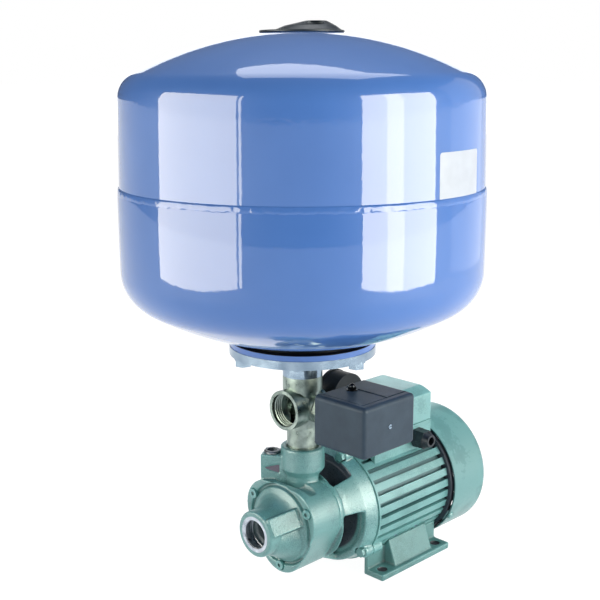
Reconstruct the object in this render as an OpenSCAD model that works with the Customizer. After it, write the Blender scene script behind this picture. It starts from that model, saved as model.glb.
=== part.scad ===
// Peripheral pump with a pressure tank on its outlet, a pressure switch and a gauge.
// Row frame: +Z up, X along the pump shaft with the inlet towards -X.
// The origin is the centre of the four foot holes, on the surface that the foot stands on.
// Millimetres throughout.

/* [Foot] */
// Height of the shaft above the floor
shaft_h = 63; // [62:0.5:66]
// Hole spacing along the shaft
foot_hole_x = 80; // [78:1:84]
// Hole spacing across the shaft
foot_hole_y = 100; // [98:1:102]
// Diameter of the foot holes
foot_hole_d = 9; // [7:0.5:10]
// Distance from a hole to the end of its pad
foot_edge_x = 10.6; // [9:0.2:12]
// Distance from a hole to the outer side of its pad
foot_edge_y = 10; // [9:0.5:12]
// Width of each pad across the shaft
foot_pad_w = 20; // [18:1:22]
// Thickness of the pads
foot_t = 6; // [5:0.5:7]
// Thickness of the saddle's upright walls
foot_wall = 5; // [4:0.5:6]
// Length of the step between the two holes of a side
foot_step_l = 55; // [50:1:58]

/* [Motor] */
// Outer radius over the cooling fins
housing_r = 56.5; // [56:0.5:58]
// Length of the finned housing
housing_l = 103; // [98:1:106]
// Place of the housing's front face along the shaft
housing_x = -52; // [-53:0.5:-51]
// Wall between the stator bore and the tops of the fins
housing_wall = 9; // [8.5:0.5:10]
// Number of cooling grooves in a full turn
groove_n = 32; // [28:1:36]
// Width of a cooling groove
groove_w = 4; // [3:0.5:5]
// Depth of a cooling groove
groove_d = 5.5; // [4:0.5:5.5]
// Depth of the stator's ring, from its bore in the housing to the rotor
stator_depth = 18.5; // [17:0.5:20]
// Length of the stator and rotor stacks
stack_l = 50; // [40:1:52]
// Shaft diameter in the bearings
shaft_d = 12; // [11:0.5:13]
// Outer diameter of both bearings
bearing_od = 32; // [30:1:34]
// Width of both bearings
bearing_w = 10; // [9:1:11]
// How far the fan cover stands out over the fins
cover_step = 7; // [6.5:0.5:8]
// Wall of the fan cover
cover_t = 1.5; // [1.2:0.1:2]
// Length of the fan cover
cover_l = 51; // [48:1:55]
// Radius of the fan
fan_r = 52; // [46:1:55]
// Number of fan blades
fan_n = 7; // [5:1:9]

/* [Terminal box] */
// Width of the terminal box across the shaft
box_w = 73; // [70:1:76]
// Distance from the housing's front face to the box's front face
box_lead = 15; // [14:0.5:17]
// Distance from the housing's rear end to the box's rear face
box_back = 5; // [4:0.5:7]
// Height of the joint between the base and the lid above the fins
box_rise = 11.5; // [10.5:0.5:13]
// Height of the lid above that joint
lid_h = 33; // [31:1:35]
// Wall of the box and its lid
box_wall = 2.5; // [2:0.25:3]
// Across flats of the cable gland
gland_af = 17; // [16:0.5:18]
// Bore of the cable gland
gland_bore = 8; // [6:0.5:9]

/* [Pump head] */
// Distance from the foot's centre forward to the outlet axis
out_back = 96; // [95:0.5:98]
// Distance from the outlet axis forward to the inlet face
nose_l = 61; // [58:1:63]
// Outer radius of the inlet nose
nose_r = 21.2; // [20.5:0.1:22]
// Radius of both port bores, a G1 thread's inner radius
port_r = 15.15; // [14.8:0.05:15.4]
// Depth of both port bores
port_depth = 15; // [14:0.5:16]
// Outer radius of the outlet collar
outlet_r = 20.2; // [19.6:0.1:21]
// Height of the outlet collar's top face
outlet_z = 132; // [130:0.5:134]
// Height of the outlet collar's straight part
outlet_l = 22; // [20:1:24]
// Distance from the shaft to a corner arc's centre of the head
head_e = 18.5; // [17:0.5:20]
// Radius of the head's corner arcs
head_corner = 28; // [27:0.5:29]
// Depth of the head casting behind the front flange face
head_l = 34; // [32:1:35]
// Radius of the circle that the three head screws stand on
lug_r = 40; // [39.5:0.5:41]
// Radius of the impeller
impeller_r = 29; // [28:0.5:30]
// Width of the impeller
impeller_w = 9; // [8:0.5:10]
// Number of vanes on the impeller
vane_n = 36; // [30:1:40]
// Angle that each lantern window spans
window_angle = 82; // [76:1:86]
// Length of the open lantern along the shaft
window_l = 20; // [18:1:21]

/* [Fitting] */
// Height of the fitting's side ports
port_z = 170; // [169:0.5:172]
// Radius of the fitting's lower barrel
barrel_r = 14.5; // [14:0.25:15]
// Outer radius of the delivery port
delivery_r = 18.2; // [17.8:0.1:19]
// Distance from the fitting's axis to the delivery rim
delivery_l = 24; // [23:0.5:27]
// Distance from the fitting's axis to its small ports
side_l = 22; // [21:0.5:24]

/* [Gauge] */
// Radius of the gauge case
gauge_r = 20.3; // [19.5:0.1:21]
// Depth of the gauge case
gauge_d = 21; // [19:0.5:23]
// Distance from the fitting's axis to the gauge's centre
gauge_out = 47.5; // [46.5:0.5:49]
// Height of the gauge's centre above the side ports
gauge_lift = 1.5; // [0:0.25:2]

/* [Pressure switch] */
// Width of the switch along the shaft
switch_w = 66; // [62:1:68]
// Depth of the switch across the shaft
switch_d = 57; // [54:1:60]
// Height of the switch
switch_h = 45; // [43:1:47]
// Distance from the fitting's axis to the switch's base
switch_out = 47; // [46:0.5:49]
// Height of the switch's centre above its port
switch_lift = 4.5; // [3:0.5:5]
// Wall of the switch cover
switch_wall = 2; // [1.5:0.25:2.5]

/* [Tank] */
// Outer radius of the tank's lower shell
tank_r = 158.4; // [156:0.2:160]
// Height where the lower shell's dished end starts
low_rim_z = 299; // [296:1:302]
// Depth of the lower dished end
low_dish = 69; // [67:1:70]
// Height of the seam between the shells
seam_z = 364; // [360:1:368]
// Height where the upper shell's dished end starts
top_rim_z = 444; // [440:1:448]
// Depth of the upper dished end
top_dish = 55.8; // [54:0.2:57]
// Sheet thickness of the tank
sheet_t = 1.2; // [1.2:0.1:1.5]
// Radius of the flange ring under the tank
ring_r = 65; // [64.5:0.5:67]
// Thickness of the flange ring
ring_t = 5; // [4.5:0.5:5.5]
// Height of the flange ring's top face
ring_z = 233.5; // [233:0.5:234]
// Thickness of the counter flange's rim
flange_t = 7.5; // [7:0.5:8]
// Radius of the circle that the flange bolts stand on
flange_bolt_r = 57; // [56:0.5:57.5]
// Number of flange bolts
flange_bolt_n = 6; // [5:1:8]
// Radius of the counter flange's hub
hub_r = 18; // [17.5:0.1:18.5]
// Radius of the cap over the air valve
cap_r = 36; // [34:0.5:38]
// Height of that cap
cap_h = 7.7; // [7.3:0.1:8.5]

/* [Hidden] */
$fn = 96;

// Gap between faces of one body that follow the same curve
seat_gap = 0.1;
// Radial gap of a shaft in its bore
run_gap = 0.05;
// Gap between bodies that pass each other
air_gap = 0.3;

// Places along the shaft, from the inlet to the fan
out_x = -out_back;
nose_x = out_x - nose_l;
flange_lead = 30;
flange_x = out_x - flange_lead;
joint_x = flange_x + head_l;
plate_t = 5;
window_x = joint_x + plate_t;
window_end = window_x + window_l;
housing_end = housing_x + housing_l;
stator_r = housing_r - housing_wall;
rotor_r = stator_r - stator_depth;
cover_r = housing_r + cover_step;
box_x = housing_end - box_back;
box_joint_z = shaft_h + housing_r + box_rise;
lip_gap = 2.5;
cover_x = housing_end + lip_gap;
cover_end = cover_x + cover_l;
shield_t = 5;
stack_x = housing_x + (housing_l - stack_l) / 2;

// The pump head's inner sizes
wear_t = 2.5;
wear_r = impeller_r + 2.5;
impeller_gap = 0.2;
impeller_x = joint_x - impeller_gap - impeller_w;
channel_r = impeller_r + 3;
channel_side = 3;
ring_section = 0.9;
ring_mean_r = channel_r + 2.2;
seal_r = 13;
seal_l = 11.5;
seal_boss_r = 17;
hub_bore_r = shaft_d / 2 - 0.5;
prime_turn = 32;
prime_face = 12;
prime_start = 16.5;
prime_w = 20.4;
prime_top = outlet_z - 8.6;
plug_r = 5;
head_top = shaft_h + head_e / 2 + head_corner;
core_r = shaft_d / 2 + 2;
screw_r = 3;
screw_head_r = 4.4;
screw_head_h = 3;
screw_sink = 1.8;
hole_gap = 0.15;
boss_angles = [30, 150, -90];

// The bracket's outline
bell_front_r = head_e / 2 + head_corner + 7.5;
bell_mid_r = housing_r - 3.5;
bell_end_r = housing_r - 1;
bell_wall = 6.5;
web_x = window_end + 1;
web_t = 6;
bearing_x = housing_x - bearing_w + 1;
rear_bearing_x = housing_end + 2 - bearing_w;
tie_r = housing_r - 1;
tie_boss_r = 6.2;
tie_angles = [-38, -142, 72, 108];
tie_boss_l = 10;
foot_seat_z = 4.2;
bolt_r = 2.5;

// Terminal box
box_front = housing_x + box_lead;
box_l = box_x - box_front;
lid_slope = 11;
lid_edge = 12.5;
lid_edge_drop = 5.5;
lid_seat = lid_h - 15;
can_r = box_w * 0.19;
can_l = box_l * 0.7;
gland_x = box_x - 22.5;
gland_z = box_joint_z - 13;
gland_out = 19;
box_floor_z = shaft_h + housing_r + 2.5;
box_low_z = shaft_h + 41;

// Fitting and what screws into it
collar_low = port_z + 16;
hub_l = 22;
collar_top = ring_z - flange_t - ring_t - hub_l;
barrel_low = port_z - 18;
thread_r = port_r - seat_gap;
stub_r = 6.5;
port_boss_r = 12;
small_bore = 3.5;

// Gauge
gauge_x = out_x + gauge_out;
gauge_z = port_z + gauge_lift;
gauge_y = -13;
gauge_wall = 1.5;

// Pressure switch
sw_z = port_z + switch_lift;
sw_y = -switch_out;
sw_edge = 4;
stud_r = 2.5;
cover_screw_r = 1.4;
arm_t = 2.5;
arm_y = sw_y - 10;
spring_r = 7;
spring_wire = 0.9;
spring_turns = 6;
spring_l = 22;

// Tank
flange_z = ring_z - ring_t - flange_t;
upper_r = tank_r - sheet_t - 0.2;
upper_draft = 1.4;
apex_z = top_rim_z + top_dish;
low_apex_z = low_rim_z - low_dish;
low_knuckle = 37;
top_knuckle = 24;
lap = 12;
neck_r = 50;
bag_t = 2;
valve_r = 4.8;

// A revolved solid about the pump shaft, from points [place along X, radius]
module on_shaft(points) {
    translate([0, 0, shaft_h]) rotate([0, 90, 0])
        rotate_extrude() polygon([for (p = points) [p[1], p[0]]]);
}

// A plain rod about the pump shaft
module rod(x, l, r) {
    translate([x, 0, shaft_h]) rotate([0, 90, 0]) cylinder(h = l, r = r);
}

// Children drawn with their radial direction along +Y, turned to an angle about the shaft
module at_angle(a) {
    translate([0, 0, shaft_h]) rotate([a, 0, 0]) children();
}

// Hexagonal prism along +Z
module hex(af, h) {
    cylinder(h = h, r = af / sqrt(3), $fn = 6);
}

// A round hole cutter along +Y at a place above the shaft line
module along_y(x, y, z, r, l) {
    translate([x, y, z]) rotate([-90, 0, 0]) cylinder(h = l, r = r);
}

// Outline of the pump head: three corner arcs round the shaft
module head_outline(grow = 0) {
    hull() for (a = boss_angles)
        rotate(a) translate([head_e, 0]) circle(r = head_corner + grow);
}

// The head's outline as a plate across the shaft
module head_plate(x, t) {
    translate([x, 0, shaft_h]) rotate([90, 0, 90]) linear_extrude(t) head_outline();
}

// Points of a dished end: rim radius, depth, knuckle radius
function dish(r, h, k) =
    let (c = ((r - k) * (r - k) + h * h - k * k) / (2 * (h - k)), a = atan2(r - k, c - h))
    concat([for (i = [0:6]) let (t = (90 - a) * i / 6) [r - k + k * cos(t), k * sin(t)]],
        [for (i = [1:8]) let (t = a * (1 - i / 8)) [c * sin(t), h - c + c * cos(t)]]);

// Height of the lower dish's outer face above its lowest point at a radius
function dish_rise(r) =
    let (k = low_knuckle, h = low_dish)
    let (c = ((tank_r - k) * (tank_r - k) + h * h - k * k) / (2 * (h - k)))
    c - sqrt(c * c - r * r);

// Wall of a round vessel's end on the tank's axis, drawn upwards from its rim
module dished_wall(r, h, k, t) {
    outer = dish(r, h, k);
    inner = dish(r - t, h - t, k - t);
    polygon(concat(outer, [for (i = [len(inner) - 1:-1:0]) inner[i]]));
}

module tank_upper_shell() {
    color("steelblue") translate([out_x, 0, 0]) difference() {
        rotate_extrude() {
            translate([0, top_rim_z])
                dished_wall(upper_r - upper_draft, top_dish, top_knuckle, sheet_t);
            polygon([[upper_r - sheet_t, seam_z - lap], [upper_r, seam_z - lap], [upper_r, seam_z],
                [upper_r - upper_draft, top_rim_z], [upper_r - upper_draft - sheet_t, top_rim_z],
                [upper_r - sheet_t, seam_z]]);
        }
        translate([0, 0, apex_z - 5]) cylinder(h = 10, r = valve_r + seat_gap);
    }
}

module tank_lower_shell() {
    bead = 5;
    outer = dish(tank_r, low_dish, low_knuckle);
    inner = dish(tank_r - sheet_t, low_dish - sheet_t, low_knuckle - sheet_t);
    color("steelblue") translate([out_x, 0, 0]) difference() {
        rotate_extrude() polygon(concat(
            [for (i = [len(outer) - 1:-1:0]) [outer[i][0], low_rim_z - outer[i][1]]],
            [[tank_r, seam_z], [upper_r + 0.05, seam_z + bead], [upper_r + 0.05, seam_z - 0.1],
                [tank_r - sheet_t, seam_z - 0.1]],
            [for (p = inner) [p[0], low_rim_z - p[1]]]));
        translate([0, 0, low_apex_z - 1]) cylinder(h = 12, r = neck_r);
    }
}

// Welded under the lower shell, with blind threaded holes for the flange bolts
module tank_flange_ring() {
    bottom = ring_z - ring_t;
    neck_out = neck_r + 7;
    color("steelblue") translate([out_x, 0, 0]) difference() {
        rotate_extrude() polygon([[neck_r - 4, bottom], [ring_r, bottom], [ring_r, ring_z],
            [neck_out, ring_z], [neck_out, low_apex_z + dish_rise(neck_out) - seat_gap],
            [neck_r, low_apex_z + dish_rise(neck_r) - seat_gap], [neck_r - 4, ring_z]]);
        flange_bolt_places() translate([0, 0, bottom - 1])
            cylinder(h = ring_t + 0.7, r = 4 + run_gap);
    }
}

module flange_bolt_places() {
    for (i = [0:flange_bolt_n - 1])
        rotate(40 + i * 360 / flange_bolt_n) translate([flange_bolt_r, 0, 0]) children();
}

// A bag clamped between the ring and the counter flange, part filled
module membrane() {
    lip_z = ring_z - ring_t - 0.1;
    bag_r = 118;
    bag_h = 76;
    bag_z = 322;
    mouth = neck_r - 6;
    low = -acos(mouth / bag_r);
    turns = [for (i = [0:16]) low + (90 - low) * i / 16];
    outer = [for (t = turns) [bag_r * cos(t), bag_z + bag_h * sin(t)]];
    inner = [for (i = [16:-1:0])
        [(bag_r - bag_t) * cos(turns[i]), bag_z + (bag_h - bag_t) * sin(turns[i])]];
    color("dimgray") translate([out_x, 0, 0]) rotate_extrude()
        polygon(concat([[mouth - bag_t, lip_z - 1.6], [neck_r + 1.5, lip_z - 1.6],
            [neck_r + 1.5, lip_z], [mouth, lip_z]], outer, inner));
}

module counter_flange() {
    top = ring_z - ring_t - 0.05;
    recess = 1.8;
    color("silver") translate([out_x, 0, 0]) difference() {
        rotate_extrude() polygon([[port_r + 0.1, collar_top], [hub_r, collar_top],
            [hub_r, flange_z - 2], [hub_r + 4, flange_z], [ring_r + 0.6, flange_z],
            [ring_r + 0.6, top], [neck_r + 2, top], [neck_r + 2, top - recess],
            [neck_r - 8, top - recess], [neck_r - 12, flange_z + 3], [port_r + 0.1, flange_z + 3]]);
        flange_bolt_places() translate([0, 0, flange_z - 1]) cylinder(h = 20, r = 4.5);
    }
}

module flange_bolts() {
    head_h = 5.5;
    color("gainsboro") translate([out_x, 0, 0]) flange_bolt_places() {
        translate([0, 0, flange_z - head_h - 1.6]) hex(13, head_h);
        translate([0, 0, flange_z - 1.6]) cylinder(h = 1.55, r = 8);
        translate([0, 0, flange_z - 1.6]) cylinder(h = ring_z - flange_z + 1, r = 4);
    }
}

module air_valve() {
    color("goldenrod") translate([out_x, 0, 0]) difference() {
        union() {
            translate([0, 0, apex_z - 6]) cylinder(h = 10.5, r = valve_r);
            translate([0, 0, apex_z + 0.1]) hex(13, 2.5);
            translate([0, 0, apex_z - 6]) cylinder(h = 6 - sheet_t - 0.3, r = 7);
        }
        translate([0, 0, apex_z - 7]) cylinder(h = 20, r = 1 + run_gap);
        translate([0, 0, apex_z + 1]) cylinder(h = 5, r = 2.6);
    }
}

module air_valve_pin() {
    color("gold") translate([out_x, 0, 0]) {
        translate([0, 0, apex_z - 5.5]) cylinder(h = 10, r = 1);
        translate([0, 0, apex_z + 2.6]) cylinder(h = 1.2, r = 2);
    }
}

// A low moulded cap with an off-centre crown
module valve_cap() {
    brim = 2.1;
    color("darkslategray") translate([out_x, 0, 0]) difference() {
        union() {
            translate([0, 0, apex_z - 2.2]) cylinder(h = brim, r = cap_r);
            hull() {
                cap_place(5, 0, -0.3) cylinder(h = 0.2, r = cap_r - 7, $fn = 64);
                cap_place(7, 0, cap_h * 0.44) cylinder(h = 0.2, r = cap_r * 0.61, $fn = 64);
                cap_place(12, 0, cap_h - 0.2) cylinder(h = 0.2, r = cap_r * 0.25, $fn = 48);
            }
        }
        translate([0, 0, apex_z - top_dish + 0.2]) rotate_extrude()
            polygon(concat([[0, 0]], dish(upper_r - upper_draft, top_dish, top_knuckle)));
        translate([0, 0, apex_z - 3]) cylinder(h = 6, r = 8);
        translate([0, 0, apex_z - 3]) cylinder(h = 7.9, r = valve_r + 0.8);
        // Oval finger recess in the crown's front and a small slot beside it
        cap_place(11.3, 14.3, cap_h * 0.76) scale([8, 6, 2.2]) sphere(r = 1, $fn = 32);
        cap_place(-11.6, 9.3, cap_h * 0.53) scale([3.4, 1.6, 1.2]) sphere(r = 1, $fn = 32);
    }
}

// A place on the cap: across it, towards its grip, and above the tank's highest point
module cap_place(across, out, up) {
    translate([0, 0, apex_z + up]) rotate(-45) translate([across, -out, 0]) children();
}

// Upright body with the tank and pump threads, a wide delivery port and two small ports
module five_way_fitting() {
    color("lightgray") difference() {
        union() {
            translate([out_x, 0, outlet_z - 13]) cylinder(h = 14, r = thread_r);
            translate([out_x, 0, outlet_z - 0.5]) cylinder(h = port_z - outlet_z, r = barrel_r);
            translate([out_x, 0, barrel_low]) cylinder(h = collar_low - barrel_low + 1, r = barrel_r + 2);
            translate([out_x, 0, collar_low]) cylinder(h = collar_top - collar_low - 0.1, r = hub_r);
            translate([out_x, 0, collar_top - 1]) cylinder(h = 15, r = thread_r);
            translate([out_x - delivery_l, 0, port_z]) rotate([0, 90, 0])
                cylinder(h = delivery_l, r = delivery_r);
            along_y(out_x, -side_l, port_z, port_boss_r, side_l);
            along_y(out_x, -side_l - 12, port_z, stub_r, 13);
            translate([out_x, 0, port_z]) rotate([0, 90, 0]) cylinder(h = side_l, r = port_boss_r);
        }
        translate([out_x, 0, outlet_z - 14]) cylinder(h = 100, r = 11);
        translate([out_x - delivery_l - 1, 0, port_z]) rotate([0, 90, 0])
            cylinder(h = port_depth + 1, r = port_r);
        translate([out_x - delivery_l, 0, port_z]) rotate([0, 90, 0])
            cylinder(h = delivery_l, r = 10.5);
        along_y(out_x, -side_l - 13, port_z, small_bore, side_l + 13);
        translate([out_x, 0, port_z]) rotate([0, 90, 0]) cylinder(h = side_l + 1, r = small_bore);
        translate([out_x + side_l - 10, 0, port_z]) rotate([0, 90, 0])
            cylinder(h = 11, r = stub_r + seat_gap);
    }
}

module gauge_case() {
    color("dimgray") difference() {
        union() {
            along_y(gauge_x, gauge_y, gauge_z, gauge_r, gauge_d);
            along_y(gauge_x, gauge_y + gauge_d - 3, gauge_z, gauge_r + 0.7, 3);
        }
        along_y(gauge_x, gauge_y + gauge_wall, gauge_z, gauge_r - gauge_wall, gauge_d);
        translate([gauge_x - gauge_r - 3, 0, port_z]) rotate([0, 90, 0])
            cylinder(h = 8, r = 5 + seat_gap);
    }
}

module gauge_stem() {
    thread_l = 9.5;
    flats_l = gauge_out - gauge_r - side_l - 0.6;
    start = out_x + side_l;
    color("goldenrod") difference() {
        union() {
            translate([start - thread_l, 0, port_z]) rotate([0, 90, 0])
                cylinder(h = thread_l + 1, r = stub_r);
            translate([start + 0.1, 0, port_z]) rotate([0, 90, 0]) hex(14, flats_l);
            translate([start + 1, 0, port_z]) rotate([0, 90, 0])
                cylinder(h = gauge_out - side_l - gauge_r + 0.8, r = 5);
            translate([start + 1, 0, port_z]) rotate([0, 90, 0])
                cylinder(h = gauge_out - side_l - gauge_r + 6.5, r = 2.8);
        }
        translate([start - thread_l - 1, 0, port_z]) rotate([0, 90, 0])
            cylinder(h = thread_l + 15, r = 1.5);
    }
}

// The C-shaped tube that straightens under pressure, with its block on the stem
module bourdon_tube() {
    bend_r = gauge_r - 6;
    color("gold") translate([gauge_x, gauge_y + 6.7, gauge_z]) rotate([90, 0, 0]) {
        rotate_extrude(angle = 250, start = 180) translate([bend_r, -2]) square([1.8, 4]);
        translate([-bend_r - 1.6, -2, -2.9]) cube([5, 4, 5.8]);
    }
}

module gauge_dial() {
    color("white") difference() {
        along_y(gauge_x, gauge_y + gauge_d - 4.6, gauge_z, gauge_r - gauge_wall - 0.1, 0.8);
        along_y(gauge_x, gauge_y + gauge_d - 6, gauge_z, 1.2 + run_gap, 4);
    }
}

module gauge_needle() {
    rest_angle = 225;
    color("black") {
        along_y(gauge_x, gauge_y + 10, gauge_z, 1.2, gauge_d - 13);
        along_y(gauge_x, gauge_y + gauge_d - 3.4, gauge_z, 2.6, 1.2);
        translate([gauge_x, gauge_y + gauge_d - 2.5, gauge_z]) rotate([90, rest_angle, 0])
            linear_extrude(0.5) polygon([[-5, -1], [-5, 1], [0, 1.2], [gauge_r - 5, 0.3],
                [gauge_r - 5, -0.3], [0, -1.2]]);
    }
}

module gauge_glass() {
    color("lightblue", 0.4)
        along_y(gauge_x, gauge_y + gauge_d - 1.8, gauge_z, gauge_r - gauge_wall - 0.1, 1.3);
}

// Swivel nut on the fitting's stub
module switch_nut() {
    nut_l = 13;
    color("gainsboro") difference() {
        translate([out_x, -side_l - 0.2, port_z]) rotate([90, 0, 0]) hex(22, nut_l);
        along_y(out_x, -side_l - nut_l - 1, port_z, stub_r + seat_gap, nut_l + 2);
    }
}

module diaphragm_housing() {
    top = sw_y + 1;
    low = -side_l - 13.5;
    color("silver") difference() {
        union() {
            along_y(out_x, top, port_z, 19, 6);
            along_y(out_x, top, port_z, 10, low - top);
        }
        along_y(out_x, top - 1, port_z, 15, 3);
        along_y(out_x, top - 1, port_z, small_bore, 20);
    }
}

module diaphragm() {
    color("black") along_y(out_x, sw_y - 0.4, port_z, 18, 1.3);
}

// Outline of the switch across its depth
module switch_outline(grow = 0) {
    offset(r = sw_edge + grow) square([switch_w - 2 * sw_edge, switch_h - 2 * sw_edge], center = true);
}

module switch_base() {
    base_t = 4;
    color("gray") difference() {
        union() {
            translate([out_x, sw_y - 0.5, sw_z]) rotate([90, 0, 0]) linear_extrude(2 * base_t - 0.5)
                switch_outline(-switch_wall - 0.3);
            // Two cheeks that carry the contact arm's pin
            for (s = [-1, 1]) translate([out_x + s * 15 - 1.5, arm_y - 4, sw_z - 19])
                cube([3, 8, 8]);
        }
        along_y(out_x, sw_y - 12, port_z, 6, 14);
        for (s = [-1, 1]) translate([out_x + s * 15 - 3, arm_y, sw_z - 15]) rotate([0, 90, 0])
            cylinder(h = 6, r = 1.2 + run_gap);
    }
}

// A rounded cover with a framed panel and a groove on its upper side
module switch_cover() {
    front = sw_y - switch_d;
    back = sw_y - 0.6;
    color("darkslategray") difference() {
        hull() {
            for (sx = [-1, 1], sz = [-1, 1]) {
                translate([out_x + sx * (switch_w / 2 - sw_edge), front + sw_edge,
                    sw_z + sz * (switch_h / 2 - sw_edge)]) sphere(r = sw_edge, $fn = 32);
                translate([out_x + sx * (switch_w / 2 - sw_edge), back - 0.2,
                    sw_z + sz * (switch_h / 2 - sw_edge)]) rotate([-90, 0, 0])
                    cylinder(h = 0.2, r = sw_edge, $fn = 32);
            }
        }
        translate([out_x, back + 1, sw_z]) rotate([90, 0, 0])
            linear_extrude(back - front - switch_wall + 1) switch_outline(-switch_wall);
        along_y(out_x, front - 1, sw_z, cover_screw_r + 0.3, 10);
        along_y(out_x, front - 1, sw_z, 2.5, 1.95);
        // The panel's frame groove on the upper side
        translate([out_x - switch_w / 2 + 7, front + 8, sw_z + switch_h / 2 - 1.3])
            cube([1.8, switch_d, 2]);
        translate([out_x - switch_w / 2 + 7, front + 8, sw_z + switch_h / 2 - 1.3])
            cube([switch_w - 10, 1.8, 2]);
        translate([out_x + 5, front + 8, sw_z + switch_h / 2 - 1.3]) cube([1.6, switch_d, 2]);
        translate([out_x - switch_w / 2 + 7, front + 8, sw_z + switch_h / 2 - 0.5])
            cube([switch_w / 2 - 2, switch_d, 2]);
    }
}

module switch_cover_screw() {
    front = sw_y - switch_d;
    color("gainsboro") difference() {
        union() {
            along_y(out_x, front - 0.1, sw_z, 2.1, 1);
            along_y(out_x, front + 0.8, sw_z, cover_screw_r, 9.2);
        }
        translate([out_x - 5, front - 0.6, sw_z - 0.4]) cube([10, 1, 0.8]);
    }
}

// Acorn nut of the cable entry on the upper side
module switch_side_nut() {
    top = sw_z + switch_h / 2 - 0.5;
    color("gainsboro") translate([out_x + 1.5, sw_y - 12, top + 0.05]) {
        cylinder(h = 0.8, r = 5);
        translate([0, 0, 0.7]) hex(6.5, 2.4);
        translate([0, 0, 3]) intersection() {
            sphere(r = 2.9, $fn = 48);
            translate([0, 0, 5]) cube([10, 10, 10], center = true);
        }
    }
}

module range_stud() {
    color("silver") along_y(out_x, sw_y - switch_d + 10.5, sw_z, stud_r, switch_d - 18.7);
}

// Helix from round rings of points, swept along the stud
function coil_point(i, k, n, m) =
    let (t = spring_turns * 360 * i / n, a = 360 * k / m, r = spring_r + spring_wire * cos(a))
    [r * cos(t), (spring_l - 2 * spring_wire) * i / n + spring_wire + spring_wire * sin(a), r * sin(t)];

module range_spring() {
    n = spring_turns * 12;
    m = 8;
    points = [for (i = [0:n], k = [0:m - 1]) coil_point(i, k, n, m)];
    sides = [for (i = [0:n - 1], k = [0:m - 1]) let (a = i * m + k, b = i * m + (k + 1) % m)
        [a, a + m, b + m, b]];
    ends = [[for (k = [0:m - 1]) k], [for (k = [m - 1:-1:0]) n * m + k]];
    color("silver") translate([out_x, arm_y - arm_t - 0.3 - spring_l, sw_z])
        polyhedron(points, concat(sides, ends));
}

module range_nut() {
    color("gainsboro") difference() {
        translate([out_x, arm_y - arm_t - spring_l - 0.6, sw_z]) rotate([90, 0, 0]) union() {
            cylinder(h = 1.5, r = 10);
            translate([0, 0, 1.4]) hex(13, 5);
        }
        along_y(out_x, arm_y - arm_t - spring_l - 8, sw_z, stud_r + seat_gap, 9);
    }
}

// Rocker that opens the contacts, with its pin through the base's cheeks
module contact_arm() {
    color("burlywood") difference() {
        union() {
            translate([out_x - 11, arm_y - arm_t, sw_z - 16]) cube([22, arm_t, 30]);
            translate([out_x - 11, arm_y, sw_z - 15]) rotate([0, 90, 0]) cylinder(h = 22, r = 1.9);
            translate([out_x - 17, arm_y, sw_z - 15]) rotate([0, 90, 0]) cylinder(h = 34, r = 1.2);
        }
        along_y(out_x, arm_y - 6, sw_z, stud_r + 1.5, 12);
    }
}

module terminal_strip() {
    color("beige") difference() {
        translate([out_x + 17.5, sw_y - 8.2 - 12, sw_z - 12]) cube([11, 12, 26]);
        for (i = [0:3]) along_y(out_x + 23, sw_y - 22, sw_z - 8.5 + i * 6.5, 2, 8);
    }
}

// Inlet nose, flared into the front flange: points [place along X, radius]
function nose_points() =
    let (base_r = ring_mean_r, start = nose_x + 12)
    concat([[nose_x, port_r], [nose_x, nose_r - 1.5], [nose_x + 0.5, nose_r - 0.5],
        [nose_x + 1.5, nose_r]],
        [for (i = [0:8]) let (t = i / 8)
            [start + (flange_x - start) * t,
                nose_r + (base_r - nose_r) * (1 - sqrt(1 - t * t * 0.96)) / 0.8]],
        [[flange_x + 1, base_r], [flange_x + 1, port_r]]);

// The cast head: nose, front flange, outlet collar, priming block and the impeller's chamber
module pump_body() {
    rib_w = 17;
    groove_in = ring_mean_r + 0.4;
    color("cadetblue") difference() {
        union() {
            difference() {
                head_plate(flange_x, head_l);
                // Valley between the front flange and the outlet's neck
                translate([flange_x + 13.5, 30, head_top + 0.5]) rotate([90, 0, 0])
                    cylinder(h = 60, r = 6);
            }
            on_shaft(nose_points());
            rod(nose_x + 12, flange_lead + 20, port_r + 3);
            // Flat-topped rib from the nose to the lug on the outlet's side
            at_angle(150) translate([0, 0, -rib_w / 2]) linear_extrude(rib_w)
                polygon([[nose_x + 2, 0], [nose_x + 2, nose_r + 0.8],
                    [flange_x - 4, ring_mean_r - 2.5], [flange_x + 1, ring_mean_r - 2.5], [flange_x + 1, 0]]);
            // Fuller lower half, where the inlet passage runs
            translate([nose_x + 10, -4, shaft_h - 5]) rotate([0, 90, 0])
                cylinder(h = flange_x - nose_x - 9.5, r1 = nose_r - 5, r2 = ring_mean_r - 7);
            outlet_neck();
            priming_block();
        }
        head_hollows();
        priming_place() translate([0, 0, shaft_h + 28])
            cylinder(h = prime_top - shaft_h, r = plug_r + seat_gap);
        arrow_recess();
        // Groove round the nose's foot on the front flange
        on_shaft([[flange_x - 1, groove_in - 1], [flange_x, groove_in], [flange_x + 3, groove_in + 0.8],
            [flange_x + 3.4, groove_in + 2], [flange_x + 3, groove_in + 3.2], [flange_x, groove_in + 4],
            [flange_x - 1, groove_in + 5]]);
        // Counterbores and holes of the head screws
        for (a = boss_angles) at_angle(a) translate([flange_x - 20, lug_r, 0]) rotate([0, 90, 0]) {
            cylinder(h = 20 + screw_sink, r = screw_head_r + 0.4);
            cylinder(h = 60, r = screw_r + hole_gap);
        }
    }
}

// Priming block: it leans on the collar, with its face turned by an angle
module prime_frame() {
    translate([out_x, 0, 0]) rotate(prime_turn) children();
}

module priming_block() {
    depth = 21;
    low = head_top - 12;
    prime_frame() translate([-prime_face, 8, low])
        cube([depth, prime_w + prime_start - 8, prime_top - low]);
}

module priming_place() {
    prime_frame() translate([-2.6, prime_start + 11.5, 0]) children();
}

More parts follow.
